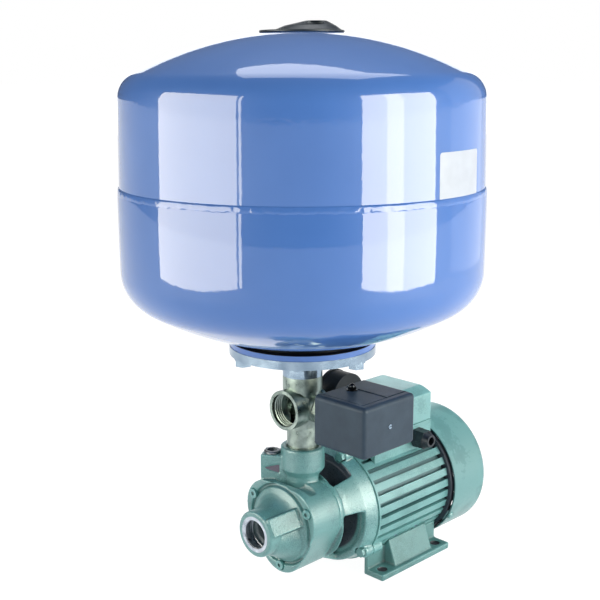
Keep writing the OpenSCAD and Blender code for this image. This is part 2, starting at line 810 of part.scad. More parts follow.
// Flow arrow sunk into the block's face
module arrow_recess() {
    len = 17;
    half = 4.6;
    prime_frame() translate([-prime_face + 1.4, prime_start + 2.4, prime_top - 12.5])
        rotate([90, 0, -90]) linear_extrude(3)
            polygon([[0, -half], [-len, 0], [0, half]]);
}

// Collar of the outlet and the funnel that joins it to the head
module outlet_neck() {
    neck_z = outlet_z - outlet_l;
    neck_r = outlet_r - 2.9;
    low_z = head_top - 9;
    difference() {
        translate([out_x, 0, 0]) rotate_extrude() polygon([[0, low_z], [neck_r - 0.5, low_z],
            [neck_r, neck_z - 4], [outlet_r - 0.8, neck_z], [outlet_r, neck_z + 1],
            [outlet_r, outlet_z - 1], [outlet_r - 1, outlet_z], [0, outlet_z]]);
        translate([joint_x, -40, 0]) cube([60, 80, shaft_h + bell_front_r + 0.3]);
    }
}

// What the water passes through, from the inlet past the impeller to the outlet
module head_hollows() {
    rod(nose_x - 1, port_depth + 1, port_r);
    rod(nose_x, flange_x - nose_x + 12, 12.5);
    translate([flange_x + 8, 0, shaft_h]) rotate([-30, 0, 0]) rotate([0, 0, -25])
        rotate([-90, 0, 0]) cylinder(h = 31, r = 6.5);
    difference() {
        rod(joint_x - impeller_w - channel_side, impeller_w + channel_side + 1, channel_r);
        rod(joint_x - impeller_w - channel_side - 1, channel_side + 0.6, channel_r - 9);
    }
    rod(impeller_x - 3, 4, hub_bore_r + 1);
    translate([out_x - 6, 0, shaft_h + impeller_r - 2]) cylinder(h = 24, r = 5.5);
    translate([out_x, 0, outlet_z - port_depth]) cylinder(h = port_depth + 1, r = port_r);
    translate([out_x, 0, outlet_z - port_depth - 10]) cylinder(h = 11, r = 10.5);
    // Seat of the O-ring in the joint face
    difference() {
        rod(joint_x - 1.6, 2, ring_mean_r + ring_section + seat_gap);
        rod(joint_x - 2.6, 4, ring_mean_r - ring_section - seat_gap);
    }
}

// Low round plug with a wide hexagon socket
module priming_plug() {
    cap = plug_r + 2.6;
    color("silver") priming_place() translate([0, 0, prime_top]) difference() {
        union() {
            translate([0, 0, -12]) cylinder(h = 12.2, r = plug_r);
            translate([0, 0, 0.1]) cylinder(h = 1.6, r = cap);
            translate([0, 0, 1.6]) cylinder(h = 0.8, r1 = cap, r2 = cap - 0.8);
        }
        translate([0, 0, 0.7]) hex(9, 4);
    }
}

module head_screws() {
    color("gainsboro") for (a = boss_angles) at_angle(a)
        translate([flange_x + screw_sink - screw_head_h, lug_r, 0]) rotate([0, 90, 0]) difference() {
            union() {
                cylinder(h = screw_head_h - 0.1, r = screw_head_r);
                cylinder(h = head_l + 10, r = screw_r);
            }
            translate([0, 0, -0.1]) cylinder(h = 1.1, r = 2, $fn = 6);
        }
}

module body_o_ring() {
    color("black") translate([joint_x - 0.8, 0, shaft_h]) rotate([0, 90, 0])
        rotate_extrude() translate([ring_mean_r, 0]) circle(r = 0.79, $fn = 24);
}

// Disc with open pockets round both edges, which sling the water along the channel
module impeller() {
    pocket = 5;
    rib = 0.9;
    pitch = 360 / vane_n;
    color("goldenrod") difference() {
        rod(impeller_x, impeller_w, impeller_r);
        rod(impeller_x - 1, impeller_w + 2, hub_bore_r + run_gap);
        for (i = [0:vane_n - 1]) at_angle(i * pitch) for (s = [0, 1])
            translate([impeller_x + s * (impeller_w / 2 + rib), impeller_r - pocket, 0])
                translate([s == 0 ? -1 : 0, 0, -impeller_r * PI / vane_n + 0.55])
                    cube([impeller_w / 2 - rib + 1, pocket + 1, 2 * impeller_r * PI / vane_n - 1.6]);
        // Two balance holes
        for (a = [0, 180]) at_angle(a) translate([impeller_x - 1, 13, 0]) rotate([0, 90, 0])
            cylinder(h = impeller_w + 2, r = 2);
    }
}

module wear_plate() {
    color("darkgoldenrod") difference() {
        rod(joint_x, wear_t, wear_r - seat_gap);
        rod(joint_x - 1, wear_t + 2, hub_bore_r + 1.5);
    }
}

module seal_seat() {
    color("white") difference() {
        rod(window_x + seal_l - 8, 4, seal_r - seat_gap);
        rod(window_x + seal_l - 9, 6, hub_bore_r + 1);
    }
}

module seal_ring() {
    color("dimgray") difference() {
        union() {
            rod(joint_x + wear_t + 0.6, window_x + seal_l - 8.3 - joint_x - wear_t - 0.6, seal_r - 3);
            rod(joint_x + wear_t + 2, 1.5, seal_r - 1.5);
        }
        rod(joint_x, 20, hub_bore_r + run_gap);
    }
}

// Open lantern between the head and the motor, which also carries the front bearing
module lantern_bracket() {
    color("cadetblue") difference() {
        union() {
            head_plate(joint_x, plate_t);
            on_shaft([[window_x - 0.5, 20], [window_x - 0.5, bell_front_r - 1],
                [window_x + window_l / 3, bell_front_r + 1.5], [window_end + 0.6, bell_mid_r],
                [housing_x, bell_end_r], [housing_x, bell_end_r - bell_wall],
                [window_end, bell_mid_r - bell_wall], [window_x + 6, bell_front_r - bell_wall],
                [window_x + 2, bell_front_r - bell_wall - 4], [window_x + 2, 20]]);
            rod(joint_x + 0.5, seal_l + plate_t, seal_boss_r);
            rod(web_x, web_t, bell_mid_r - 2);
            rod(web_x - 3, bearing_x + bearing_w - web_x + 2, bearing_od / 2 + 5);
            for (a = tie_angles) at_angle(a) translate([housing_x - tie_boss_l, tie_r, 0])
                rotate([0, 90, 0]) cylinder(h = tie_boss_l, r = tie_boss_r);
            // Thick roots of the arms, which take the head screws
            for (a = boss_angles) at_angle(a) translate([window_x - 1, lug_r - 1, 0])
                rotate([0, 90, 0]) cylinder(h = 11, r = 6);
        }
        rod(joint_x - 1, wear_t + 1.1, wear_r);
        rod(joint_x, seal_l + plate_t, seal_r);
        rod(joint_x, 60, shaft_d / 2 + 1.5);
        rod(bearing_x - 0.1, bearing_w + 10, bearing_od / 2 + run_gap);
        for (a = [90, -30, -150]) at_angle(a) lantern_window();
        for (a = boss_angles) at_angle(a) translate([joint_x - 1, lug_r, 0]) rotate([0, 90, 0])
            cylinder(h = 13, r = screw_r + seat_gap);
        for (a = tie_angles) at_angle(a) {
            translate([housing_x - 20, tie_r, 0]) rotate([0, 90, 0])
                cylinder(h = 30, r = bolt_r + hole_gap);
            translate([housing_x - tie_boss_l - 10, tie_r, 0]) rotate([0, 90, 0])
                cylinder(h = 10, r = 5.3);
        }
    }
}

// Cutter of one window, centred on +Y
module lantern_window() {
    translate([window_x, 0, 0]) rotate([0, 90, 0])
        rotate_extrude(angle = window_angle, start = 90 - window_angle / 2)
            translate([20, 0]) square([60, window_l]);
}

module motor_shaft() {
    color("silver") {
        on_shaft([[impeller_x - 1.5, 0], [impeller_x - 1.5, hub_bore_r - 0.5],
            [impeller_x - 1, hub_bore_r], [web_x - 6, hub_bore_r], [web_x - 6, shaft_d / 2],
            [bearing_x + bearing_w + air_gap, shaft_d / 2],
            [bearing_x + bearing_w + air_gap, core_r], [rear_bearing_x - air_gap, core_r],
            [rear_bearing_x - air_gap, shaft_d / 2],
            [cover_x + 28, shaft_d / 2], [cover_x + 29, shaft_d / 2 - 1], [cover_x + 29, 0]]);
    }
}

// Ball bearing drawn as its two races and a ring of balls' cage
module bearing(x) {
    bore = shaft_d / 2 + run_gap / 2;
    outer = bearing_od / 2;
    race = 2.6;
    color("gainsboro") difference() {
        rod(x, bearing_w, outer);
        rod(x - 1, bearing_w + 2, bore);
        difference() {
            rod(x - 1, 2, outer - race);
            rod(x - 2, 4, bore + race);
        }
        difference() {
            rod(x + bearing_w - 1, 2, outer - race);
            rod(x + bearing_w - 2, 4, bore + race);
        }
    }
}

module front_bearing() {
    bearing(bearing_x);
}

module rear_bearing() {
    bearing(rear_bearing_x);
}

module rotor_core() {
    end_ring = 4;
    color("lightgray") difference() {
        union() {
            rod(stack_x, stack_l, rotor_r);
            for (x = [stack_x - end_ring, stack_x + stack_l]) rod(x, end_ring, rotor_r - 1.5);
        }
        rod(stack_x - 10, stack_l + 20, core_r + run_gap / 2);
    }
}

module stator_core() {
    slot_n = 24;
    color("gray") difference() {
        rod(stack_x, stack_l, stator_r - seat_gap);
        rod(stack_x - 1, stack_l + 2, rotor_r + 0.35);
        for (i = [0:slot_n - 1]) at_angle((i + 0.5) * 360 / slot_n)
            translate([stack_x - 1, rotor_r + 1.6, -2]) cube([stack_l + 2, stator_depth - 7.5, 4]);
    }
}

module windings() {
    head = 13;
    inner = rotor_r + 3;
    outer = stator_r - 3.5;
    color("peru") for (x = [stack_x - head - air_gap, stack_x + stack_l + air_gap])
        on_shaft([[x, inner + 2], [x, outer - 3], [x + 2, outer], [x + head - 2, outer],
            [x + head, outer - 3], [x + head, inner + 2], [x + head - 2, inner], [x + 2, inner]]);
}

// Finned barrel; the grooves are left out where the feet stand
module motor_housing() {
    pitch = 360 / groove_n;
    color("cadetblue") difference() {
        union() {
            rod(housing_x, housing_l, housing_r);
            for (a = tie_angles) at_angle(a) translate([housing_x + 0.3, tie_r, 0])
                rotate([0, 90, 0]) cylinder(h = tie_boss_l + 1.7, r = tie_boss_r);
        }
        rod(housing_x - 1, housing_l + 2, stator_r);
        for (i = [0:groove_n - 1])
            if (!foot_zone(i * pitch)) at_angle(i * pitch)
                translate([groove_start(i * pitch), housing_r - groove_d, -groove_w / 2])
                    cube([housing_l, groove_d + 10, groove_w]);
        for (a = tie_angles) at_angle(a) translate([housing_x - 1, tie_r, 0])
            rotate([0, 90, 0]) cylinder(h = tie_boss_l, r = bolt_r + seat_gap);
        foot_screw_places() translate([0, 0, foot_seat_z])
            cylinder(h = foot_screw_top() - foot_seat_z + 1, r = screw_r + seat_gap);
        for (a = shield_angles()) at_angle(a) translate([housing_end - 12, shield_screw_r(), 0])
            rotate([0, 90, 0]) cylinder(h = 20, r = 1.6);
    }
}

function shield_screw_r() = housing_r - 3;
function shield_angles() = [for (i = [0:2]) (0.5 + round(groove_n / 3) * i) * 360 / groove_n];

// Grooves start behind the front lip, or behind a tie boss that stands in their way
function groove_start(a) =
    housing_x + (min([for (t = tie_angles) abs((a - t + 540) % 360 - 180)]) < 12 ? tie_boss_l + 5 : 2);

// Whether an angle from +Y lies where a foot stands under the housing
function foot_zone(a) = (a > 180 + 35 && a < 360 - 35);

module tie_bolts() {
    color("gainsboro") for (a = tie_angles) at_angle(a)
        translate([housing_x - tie_boss_l - 3.6, tie_r, 0]) rotate([0, 90, 0]) {
            hex(8, 3.5);
            cylinder(h = tie_boss_l + 12, r = bolt_r);
        }
}

// Rear end plate with the bearing's seat and three lugs for the fan cover
module rear_shield() {
    color("cadetblue") difference() {
        union() {
            rod(housing_end + 0.05, shield_t, cover_r - cover_t - 2.2);
            rod(rear_bearing_x + 1.5, housing_end - rear_bearing_x + 2.5, bearing_od / 2 + 5);
            intersection() {
                rod(housing_end + 0.05, 10, cover_r - cover_t - seat_gap);
                for (a = cover_screw_angles()) at_angle(a)
                    translate([housing_end + 0.05, housing_r - 10, -6]) cube([10, 20, 12]);
            }
        }
        rod(rear_bearing_x - 1, bearing_w + 1, bearing_od / 2 + run_gap);
        rod(rear_bearing_x - 2, 30, shaft_d / 2 + 1);
        for (a = shield_angles()) at_angle(a) translate([housing_end - 1, shield_screw_r(), 0])
            rotate([0, 90, 0]) cylinder(h = 10, r = 1.7);
        for (a = cover_screw_angles()) at_angle(a)
            translate([cover_x + 4, housing_r - 6, 0]) rotate([-90, 0, 0]) cylinder(h = 20, r = 2.1);
    }
}

function cover_screw_angles() = [90, 210, 330];

module fan() {
    hub_len = 17;
    fan_x = cover_x + 12;
    plate = 2;
    color("dimgray") difference() {
        union() {
            rod(fan_x, hub_len, 10);
            rod(fan_x, plate, fan_r - 8);
            for (i = [0:fan_n - 1]) at_angle(i * 360 / fan_n)
                translate([fan_x + 0.5, 8, -1]) cube([hub_len - 1.5, fan_r - 8, 2]);
        }
        rod(fan_x - 1, hub_len + 2, shaft_d / 2 + run_gap / 2);
    }
}

// Drawn cup with three rings of arc slots in its end
module fan_cover() {
    corner = 5;
    slot_rows = 5;
    slots = 8;
    bar = 14;
    color("cadetblue") difference() {
        on_shaft([[cover_x, cover_r], [cover_end - corner, cover_r],
            [cover_end - corner * 0.6, cover_r - corner * 0.09],
            [cover_end - corner * 0.29, cover_r - corner * 0.29],
            [cover_end - corner * 0.09, cover_r - corner * 0.6], [cover_end, cover_r - corner],
            [cover_end, 0], [cover_end - cover_t, 0], [cover_end - cover_t, cover_r - corner],
            [cover_end - corner, cover_r - cover_t], [cover_x, cover_r - cover_t]]);
        for (row = [0:slot_rows - 1], i = [0:slots - 1])
            at_angle(i * 360 / slots) translate([cover_end - 5, 0, 0]) rotate([0, 90, 0])
                rotate_extrude(angle = 360 / slots - bar, start = 90)
                    translate([16 + row * 7.5, 0]) square([4, 10]);
        for (a = cover_screw_angles()) at_angle(a)
            translate([cover_x + 4, housing_r, 0]) rotate([-90, 0, 0]) cylinder(h = 20, r = 2.1);
    }
}

module cover_screws() {
    color("gainsboro") for (a = cover_screw_angles()) at_angle(a)
        translate([cover_x + 4, 0, 0]) {
            translate([0, housing_r - 3, 0]) rotate([-90, 0, 0])
                cylinder(h = cover_r - housing_r + 4, r = 2);
            translate([0, cover_r + 0.1, 0]) rotate([-90, 0, 0]) cylinder(h = 1.8, r1 = 4, r2 = 3);
        }
}

function foot_screw_y() = foot_hole_y / 2 - 7.5;

// Height where the foot screws end, inside the housing's wall
function foot_screw_top() = shaft_h - sqrt(pow(stator_r + 3.2, 2) - pow(foot_screw_y(), 2));

module foot_screw_places() {
    for (sx = [-1, 1], sy = [-1, 1])
        translate([sx * foot_step_l / 3.6, sy * foot_screw_y(), 0]) children();
}

// Two cast feet: a pad with two holes, an upright wall and a stepped middle
module feet() {
    out_y = foot_hole_y / 2 + foot_edge_y;
    in_y = out_y - foot_pad_w;
    end_x = foot_hole_x / 2 + foot_edge_x;
    top_z = 31;
    color("cadetblue") difference() {
        for (s = [-1, 1]) scale([1, s, 1]) {
            linear_extrude(foot_t) translate([-end_x, in_y]) offset(r = 2) offset(delta = -2)
                square([2 * end_x, foot_pad_w]);
            translate([-end_x, in_y - foot_wall + 1.2, 0]) cube([2 * end_x, foot_wall, top_z]);
            translate([foot_step_l / 2, 0, 0]) rotate([90, 0, -90]) linear_extrude(foot_step_l)
                polygon([[in_y, 0], [out_y - 4, 0], [out_y - 4, foot_t], [in_y + 6.5, top_z],
                    [in_y, top_z]]);
        }
        rod(-100, 200, housing_r + seat_gap);
        for (a = tie_angles) at_angle(a) translate([housing_x, tie_r, 0]) rotate([0, 90, 0])
            cylinder(h = tie_boss_l + 2 + seat_gap, r = tie_boss_r + seat_gap);
        for (sx = [-1, 1], sy = [-1, 1])
            translate([sx * foot_hole_x / 2, sy * foot_hole_y / 2, -1])
                cylinder(h = foot_t + 2, r = foot_hole_d / 2);
        foot_screw_places() {
            translate([0, 0, -1]) cylinder(h = foot_screw_top() + 1, r = screw_r + hole_gap);
            translate([0, 0, -1]) cylinder(h = 9, r = 5.4);
        }
    }
}

module foot_screws() {
    color("gainsboro") foot_screw_places() {
        translate([0, 0, foot_seat_z]) hex(9, 3.7);
        translate([0, 0, foot_seat_z]) cylinder(h = foot_screw_top() - foot_seat_z, r = screw_r);
    }
}

// Saddle-shaped base that stands on the housing
module terminal_base() {
    color("cadetblue") difference() {
        translate([box_front, -box_w / 2, box_low_z])
            cube([box_l, box_w, box_joint_z - box_low_z]);
        rod(-100, 200, housing_r + seat_gap);
        translate([box_front + box_wall, -box_w / 2 + box_wall + 4, box_floor_z])
            cube([box_l - 2 * box_wall, box_w - 2 * box_wall - 8, 20]);
        along_y(gland_x, -box_w / 2 - 1, gland_z, gland_bore / 2 + 2 + seat_gap, 12);
        along_y(gland_x, -box_w / 2 - 1, gland_z, gland_bore / 2, 10.5);
        translate([gland_x - 5, -box_w / 2 + box_wall + 4, gland_z - 1]) cube([10, 6, 20]);
        lid_screw_places() translate([0, 0, box_joint_z - 9]) cylinder(h = 10, r = 1.75 + run_gap);
    }
}

// Two diagonal corners
module lid_screw_places() {
    translate([box_front + 15, 5 - box_w / 2, 0]) children();
    translate([box_x - 6, box_w / 2 - 5, 0]) children();
}

// Lid with a sloping front and bevelled upper edges
module lid_block(grow) {
    top = box_joint_z + lid_h + grow;
    intersection() {
        translate([0, box_w / 2 + grow, 0]) rotate([90, 0, 0]) linear_extrude(box_w + 2 * grow)
            polygon([[box_front - grow, box_joint_z - 1], [box_front - grow, box_joint_z + 8],
                [box_front + lid_slope - grow, top - 7], [box_front + lid_slope + 5, top],
                [box_x - 2, top], [box_x + grow, top - 2], [box_x + grow, box_joint_z - 1]]);
        translate([box_front - 5, 0, box_joint_z]) rotate([90, 0, 90]) linear_extrude(box_l + 10)
            polygon([[-box_w / 2 - grow, 0.05], [-box_w / 2 - grow, lid_h - lid_edge_drop + grow],
                [-box_w / 2 + lid_edge, lid_h + grow], [box_w / 2 - lid_edge, lid_h + grow],
                [box_w / 2 + grow, lid_h - lid_edge_drop + grow], [box_w / 2 + grow, 0.05]]);
    }
}

module terminal_lid() {
    color("cadetblue") difference() {
        lid_block(0);
        difference() {
            translate([0, 0, -0.1]) lid_block(-box_wall);
            lid_screw_places() translate([0, 0, box_joint_z]) cylinder(h = lid_h, r = 4.5);
        }
        lid_screw_places() {
            translate([0, 0, box_joint_z - 1]) cylinder(h = lid_h + 5, r = 1.75 + hole_gap);
            translate([0, 0, box_joint_z + lid_seat]) cylinder(h = lid_h, r = 3.4);
        }
    }
}

module lid_screws() {
    color("gainsboro") lid_screw_places() {
        translate([0, 0, box_joint_z - 8]) cylinder(h = lid_seat + 8.5, r = 1.75);
        translate([0, 0, box_joint_z + lid_seat + 0.05]) cylinder(h = 2.4, r = 3.2);
    }
}

module capacitor() {
    color("white") translate([box_front + box_wall + 9, box_w * 0.18, box_floor_z + can_r + 0.1])
        rotate([0, 90, 0]) {
            cylinder(h = can_l, r = can_r);
            translate([0, 0, can_l]) cylinder(h = 2, r = can_r - 2);
        }
}

module terminal_block() {
    pole_n = 4;
    color("beige") difference() {
        translate([box_front + 26, -22, box_floor_z + 0.1]) cube([34, 14, 11]);
        for (i = [0:pole_n - 1]) translate([box_front + 31 + i * 8, -15, box_floor_z + 5])
            cylinder(h = 12, r = 2.2);
    }
}

module gland_body() {
    body_y = -box_w / 2;
    color("black") difference() {
        union() {
            along_y(gland_x, body_y - 0.1, gland_z, gland_bore / 2 + 2, 5);
            translate([gland_x, body_y - 0.1, gland_z]) rotate([90, 0, 0]) hex(gland_af, 5);
            along_y(gland_x, body_y - 12, gland_z, gland_af / 2 - 2.2, 11.8);
        }
        along_y(gland_x, body_y - 20, gland_z, gland_bore / 2, 40);
        along_y(gland_x, body_y - 20, gland_z, gland_bore / 2 + 1.5, 14);
    }
}

module gland_nut() {
    nut_y = -box_w / 2 - 5.3;
    color("black") difference() {
        translate([gland_x, nut_y, gland_z]) rotate([90, 0, 0]) union() {
            hex(gland_af - 0.5, 8);
            translate([0, 0, 7.9])
                cylinder(h = gland_out - 13.3, r1 = gland_af / 2 - 0.4, r2 = gland_bore / 2 + 2);
        }
        along_y(gland_x, nut_y - 7, gland_z, gland_af / 2 - 2.1, 9);
        along_y(gland_x, nut_y - 30, gland_z, gland_bore / 2, 40);
    }
}

module gland_seal() {
    seal_y = -box_w / 2 - 12;
    color("dimgray") difference() {
        along_y(gland_x, seal_y, gland_z, gland_bore / 2 + 1.4, 5);
        along_y(gland_x, seal_y - 1, gland_z, gland_bore / 2, 8);
    }
}

// Draw the chosen node, or all of them
tank_upper_shell();
tank_lower_shell();
tank_flange_ring();
membrane();
counter_flange();
flange_bolts();
air_valve();
air_valve_pin();
valve_cap();
five_way_fitting();
gauge_case();
gauge_stem();
bourdon_tube();
gauge_dial();
gauge_needle();
gauge_glass();
switch_nut();
diaphragm_housing();
diaphragm();
switch_base();
switch_cover();
switch_cover_screw();
switch_side_nut();
range_stud();
range_spring();
range_nut();
contact_arm();
terminal_strip();
pump_body();
priming_plug();
head_screws();
body_o_ring();
impeller();
wear_plate();
seal_seat();
seal_ring();
lantern_bracket();
motor_shaft();
front_bearing();
rear_bearing();
rotor_core();
stator_core();
windings();
motor_housing();
tie_bolts();
rear_shield();
fan();
fan_cover();
cover_screws();
feet();
foot_screws();
terminal_base();
terminal_lid();
lid_screws();
capacitor();
terminal_block();
gland_body();
gland_nut();
gland_seal();
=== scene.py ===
# %% [markdown]
# # A peripheral pump with a pressure tank
#
# The finished object is a cast pump head and a finned motor on one shaft, with a blue
# pressure tank on top. Its solids come packed from the CAD model as a frame. This script
# leaves every solid where it is and gives the object its looks: paint, plating, cast
# texture, a weld, threads and a gauge face.

import math

import bmesh
import bpy
from mathutils import Matrix, Vector, noise


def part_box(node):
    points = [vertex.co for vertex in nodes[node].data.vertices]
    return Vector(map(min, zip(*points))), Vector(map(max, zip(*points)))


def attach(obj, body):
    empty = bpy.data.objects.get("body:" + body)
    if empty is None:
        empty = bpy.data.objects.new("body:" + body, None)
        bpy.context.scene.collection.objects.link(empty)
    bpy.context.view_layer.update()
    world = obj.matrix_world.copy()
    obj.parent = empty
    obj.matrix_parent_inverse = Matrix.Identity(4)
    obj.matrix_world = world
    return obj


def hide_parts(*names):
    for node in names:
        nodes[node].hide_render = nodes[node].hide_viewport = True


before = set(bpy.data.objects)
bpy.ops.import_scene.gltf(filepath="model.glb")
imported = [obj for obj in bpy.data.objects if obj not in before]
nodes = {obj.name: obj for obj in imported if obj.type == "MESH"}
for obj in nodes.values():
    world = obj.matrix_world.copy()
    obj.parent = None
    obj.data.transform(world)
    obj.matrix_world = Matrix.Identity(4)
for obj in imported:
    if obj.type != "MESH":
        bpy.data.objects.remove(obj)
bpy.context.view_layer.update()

# %% [markdown]
# ## The camera
#
# The camera was fitted to the outlines of the tank, the ports and the foot. It stands about
# a metre away, a little above the tank's seam, and looks slightly down. A camera can be
# turned with Euler angles, but three unit vectors are easier to check: the view direction
# and the picture's right and up directions are the columns of its matrix.

# %% Camera
MM = 0.001
FOCAL_PX = 1060.0
FRAME_PX = 600.0
CAMERA_PLACE = Vector((-0.7474, -0.6491, 0.4702))
HEADING = math.radians(-44.97)
PITCH = math.radians(-12.44)
ROLL = math.radians(-0.16)

camera_data = bpy.data.cameras.new("photo_camera")
camera_data.sensor_width = 36.0
camera_data.lens = FOCAL_PX / FRAME_PX * camera_data.sensor_width
camera_data.clip_start = 0.02
camera_data.clip_end = 60.0
camera = bpy.data.objects.new("photo_camera", camera_data)
bpy.context.collection.objects.link(camera)
bpy.context.scene.camera = camera

forward = Vector((-math.sin(HEADING) * math.cos(PITCH), math.cos(HEADING) * math.cos(PITCH),
                  math.sin(PITCH)))
level_right = Vector((math.cos(HEADING), math.sin(HEADING), 0.0))
level_up = level_right.cross(forward)
right = level_right * math.cos(ROLL) + level_up * math.sin(ROLL)
up = level_up * math.cos(ROLL) - level_right * math.sin(ROLL)
turn = Matrix((right, up, -forward)).transposed().to_4x4()
camera.matrix_world = Matrix.Translation(CAMERA_PLACE) @ turn
print("lens:", round(camera_data.lens, 2), "mm")

# %% [markdown]
# ## Sizes that the looks share
#
# The pieces made here sit on the CAD solids, so their sizes are the same ones, in
# millimetres.

# %% Shared sizes
TANK_X = -96.0
SHAFT_Z = 63.0
SEAM_Z = 364.0
TANK_R = 158.4
UPPER_R = 157.0
SHEET = 1.2
RING_TOP_Z = 233.5
PORT_R = 15.15
NOSE_X = -157.0
DELIVERY_X = -120.0
PORT_Z = 170.0
GAUGE = Vector((-48.5, 0.0, 171.5))
G1_PITCH = 2.309
gauge_low, gauge_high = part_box("gauge_case")
print("gauge case from y", round(gauge_low[1] / MM, 2), "to", round(gauge_high[1] / MM, 2))

# %% [markdown]
# ## Helpers for making pieces
#
# A new piece starts as a bmesh. `finish_piece` turns it into an object whose origin stays
# at the world's origin, because the patterns are drawn on object coordinates. Sizes are
# typed in millimetres and scaled once, here. A spun outline closes on itself, so points
# nearer than `MERGE` become one.

# %% Making pieces
MERGE = 0.001


def finish_piece(name, bm, material, body="root", smooth=True, crease=40.0):
    bmesh.ops.scale(bm, vec=(MM, MM, MM), verts=bm.verts)
    mesh = bpy.data.meshes.new(name)
    bm.to_mesh(mesh)
    bm.free()
    if smooth:
        mesh.shade_smooth()
        mesh.set_sharp_from_angle(angle=math.radians(crease))
    piece = bpy.data.objects.new(name, mesh)
    bpy.context.collection.objects.link(piece)
    mesh.materials.append(material)
    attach(piece, body)
    return piece


def spun_profile(points, centre, axis, start, steps):
    """A closed outline of (radius, height) points spun a full turn about an axis."""
    bm = bmesh.new()
    axis = Vector(axis)
    start = Vector(start)
    loop = [bm.verts.new(Vector(centre) + start * r + axis * h) for r, h in points]
    edges = [bm.edges.new((loop[i], loop[(i + 1) % len(loop)])) for i in range(len(loop))]
    bmesh.ops.spin(bm, geom=loop + edges, cent=centre, axis=axis, angle=math.tau,
                   steps=steps, use_merge=True)
    bmesh.ops.remove_doubles(bm, verts=bm.verts, dist=MERGE)
    bmesh.ops.recalc_face_normals(bm, faces=bm.faces)
    return bm


print("a millimetre is", MM, "of Blender's units")

# %% [markdown]
# ## Helpers for making finishes
#
# Every finish is a small node tree. `add` makes a node, sets its properties, links or fills
# its sockets and places a ramp's colours, so that a finish reads from top to bottom like a
# recipe. A node that is given as a value stands for its first output. Colours are written
# as the sRGB hex values one would pick from a picture, and one function turns them into
# the linear values that the shader works with. Every pattern is drawn on object
# coordinates in millimetres, so a noise with a scale of 1 / 25 has blobs 25 mm across.

# %% Making finishes
def linear(hex_colour):
    parts = [int(hex_colour[i:i + 2], 16) / 255 for i in (0, 2, 4)]
    return tuple(p / 12.92 if p <= 0.04045 else ((p + 0.055) / 1.055) ** 2.4
                 for p in parts) + (1.0,)


def grey(value):
    return (value, value, value, 1.0)


def feed(tree, node, feeds):
    for socket, value in feeds.items():
        if isinstance(value, bpy.types.Node):
            value = value.outputs[0]
        if isinstance(value, bpy.types.NodeSocket):
            tree.links.new(value, node.inputs[socket])
        else:
            node.inputs[socket].default_value = value


def add(tree, kind, feeds=None, stops=(), **settings):
    made = tree.nodes.new("ShaderNode" + kind)
    for name, value in settings.items():
        setattr(made, name, value)
    feed(tree, made, feeds or {})
    if stops:
        elements = made.color_ramp.elements
        while len(elements) < len(stops):
            elements.new(0.5)
        for element, (position, colour) in zip(elements, stops):
            element.position = position
            element.color = colour
    return made


def start_finish(name, **shader_values):
    """A material with its tree, its shader and its object coordinates in millimetres."""
    material = bpy.data.materials.new(name)
    material.use_nodes = True
    tree = material.node_tree
    shader = tree.nodes["Principled BSDF"]
    feed(tree, shader, {socket.replace("_", " "): value
                        for socket, value in shader_values.items()})
    coords = add(tree, "TexCoord")
    place = add(tree, "Mapping", {"Vector": coords.outputs["Object"], "Scale": (1 / MM,) * 3})
    return material, tree, shader, place


print("half grey is", round(linear("808080")[0], 3), "as a linear value")

# %% [markdown]
# ## The tank's blue enamel
#
# The tank is pressed steel under baked epoxy powder paint. The powder melts into a hard,
# glossy skin with a faint orange peel about 5 mm across. The gloss is a clear coat over a
# coloured base that has next to no gloss of its own, so both softboxes show as clean
# rectangles, and the peel bends their edges very slightly. The ring's upper side and neck
# lie in the shadow of the tank's belly, so they get painted shade: a near-black colour
# without the clear coat.

# %% Blue enamel
def make_blue_enamel(name, shade_above=None):
    material, tree, shader, place = start_finish(
        name, Roughness=0.42, Specular_IOR_Level=0.1, Coat_Weight=1.0, Coat_Roughness=0.035,
        Coat_IOR=1.55)
    patches = add(tree, "TexNoise", {"Vector": place, "Scale": 1 / 60.0})
    paint = add(tree, "ValToRGB", {"Fac": patches},
                [(0.3, linear("4876BC")), (0.7, linear("4D7BC1"))])
    peel = add(tree, "TexNoise", {"Vector": place, "Scale": 1 / 5.0, "Detail": 1.0})
    bump = add(tree, "Bump", {"Height": peel, "Strength": 0.03, "Distance": 0.0006})
    # Painted shade: above this height the ring turns near black and loses its coat, for the
    # shadow under the tank's belly.
    if shade_above:
        axes = add(tree, "SeparateXYZ", {0: place})
        belly_shade = add(tree, "Math", {0: axes.outputs["Z"], 1: shade_above}, operation="GREATER_THAN")
        paint = add(tree, "MixRGB", {"Fac": belly_shade, "Color1": paint, "Color2": linear("11151C")})
        gloss = add(tree, "Math", {0: 1.0, 1: belly_shade}, operation="SUBTRACT")
        feed(tree, shader, {"Coat Weight": gloss})
    feed(tree, shader, {"Base Color": paint, "Normal": bump, "Coat Normal": bump})
    return material


BELLY_SHADE_Z = RING_TOP_Z - 0.4
blue_enamel = make_blue_enamel("baked_blue_enamel")
ring_enamel = make_blue_enamel("blue_enamel_with_painted_shade", shade_above=BELLY_SHADE_Z)
print("the ring's painted shade starts above", BELLY_SHADE_Z, "mm")

# %% [markdown]
# ## Painted shade in the hollows
#
# Deep in the bracket, under the switch, between the fins, on the rear shield, inside the
# fan cover and in the feet's bolt holes, the paint is swapped for a dark dull colour: this
# is painted shade. In the nose's bore the paint gives way to a plain dull grey. A mask is a
# node whose value is one in such a place and zero elsewhere. One mask is near the shaft,
# one is on the bracket's rear ring under the switch, and one is in the feet's holes. Masks
# worked out from the coordinates need no painted picture, and they stay right when the
# object is seen from another side.

# %% Masks for the hollows
BLUR = 1.2
FADE = 16.0


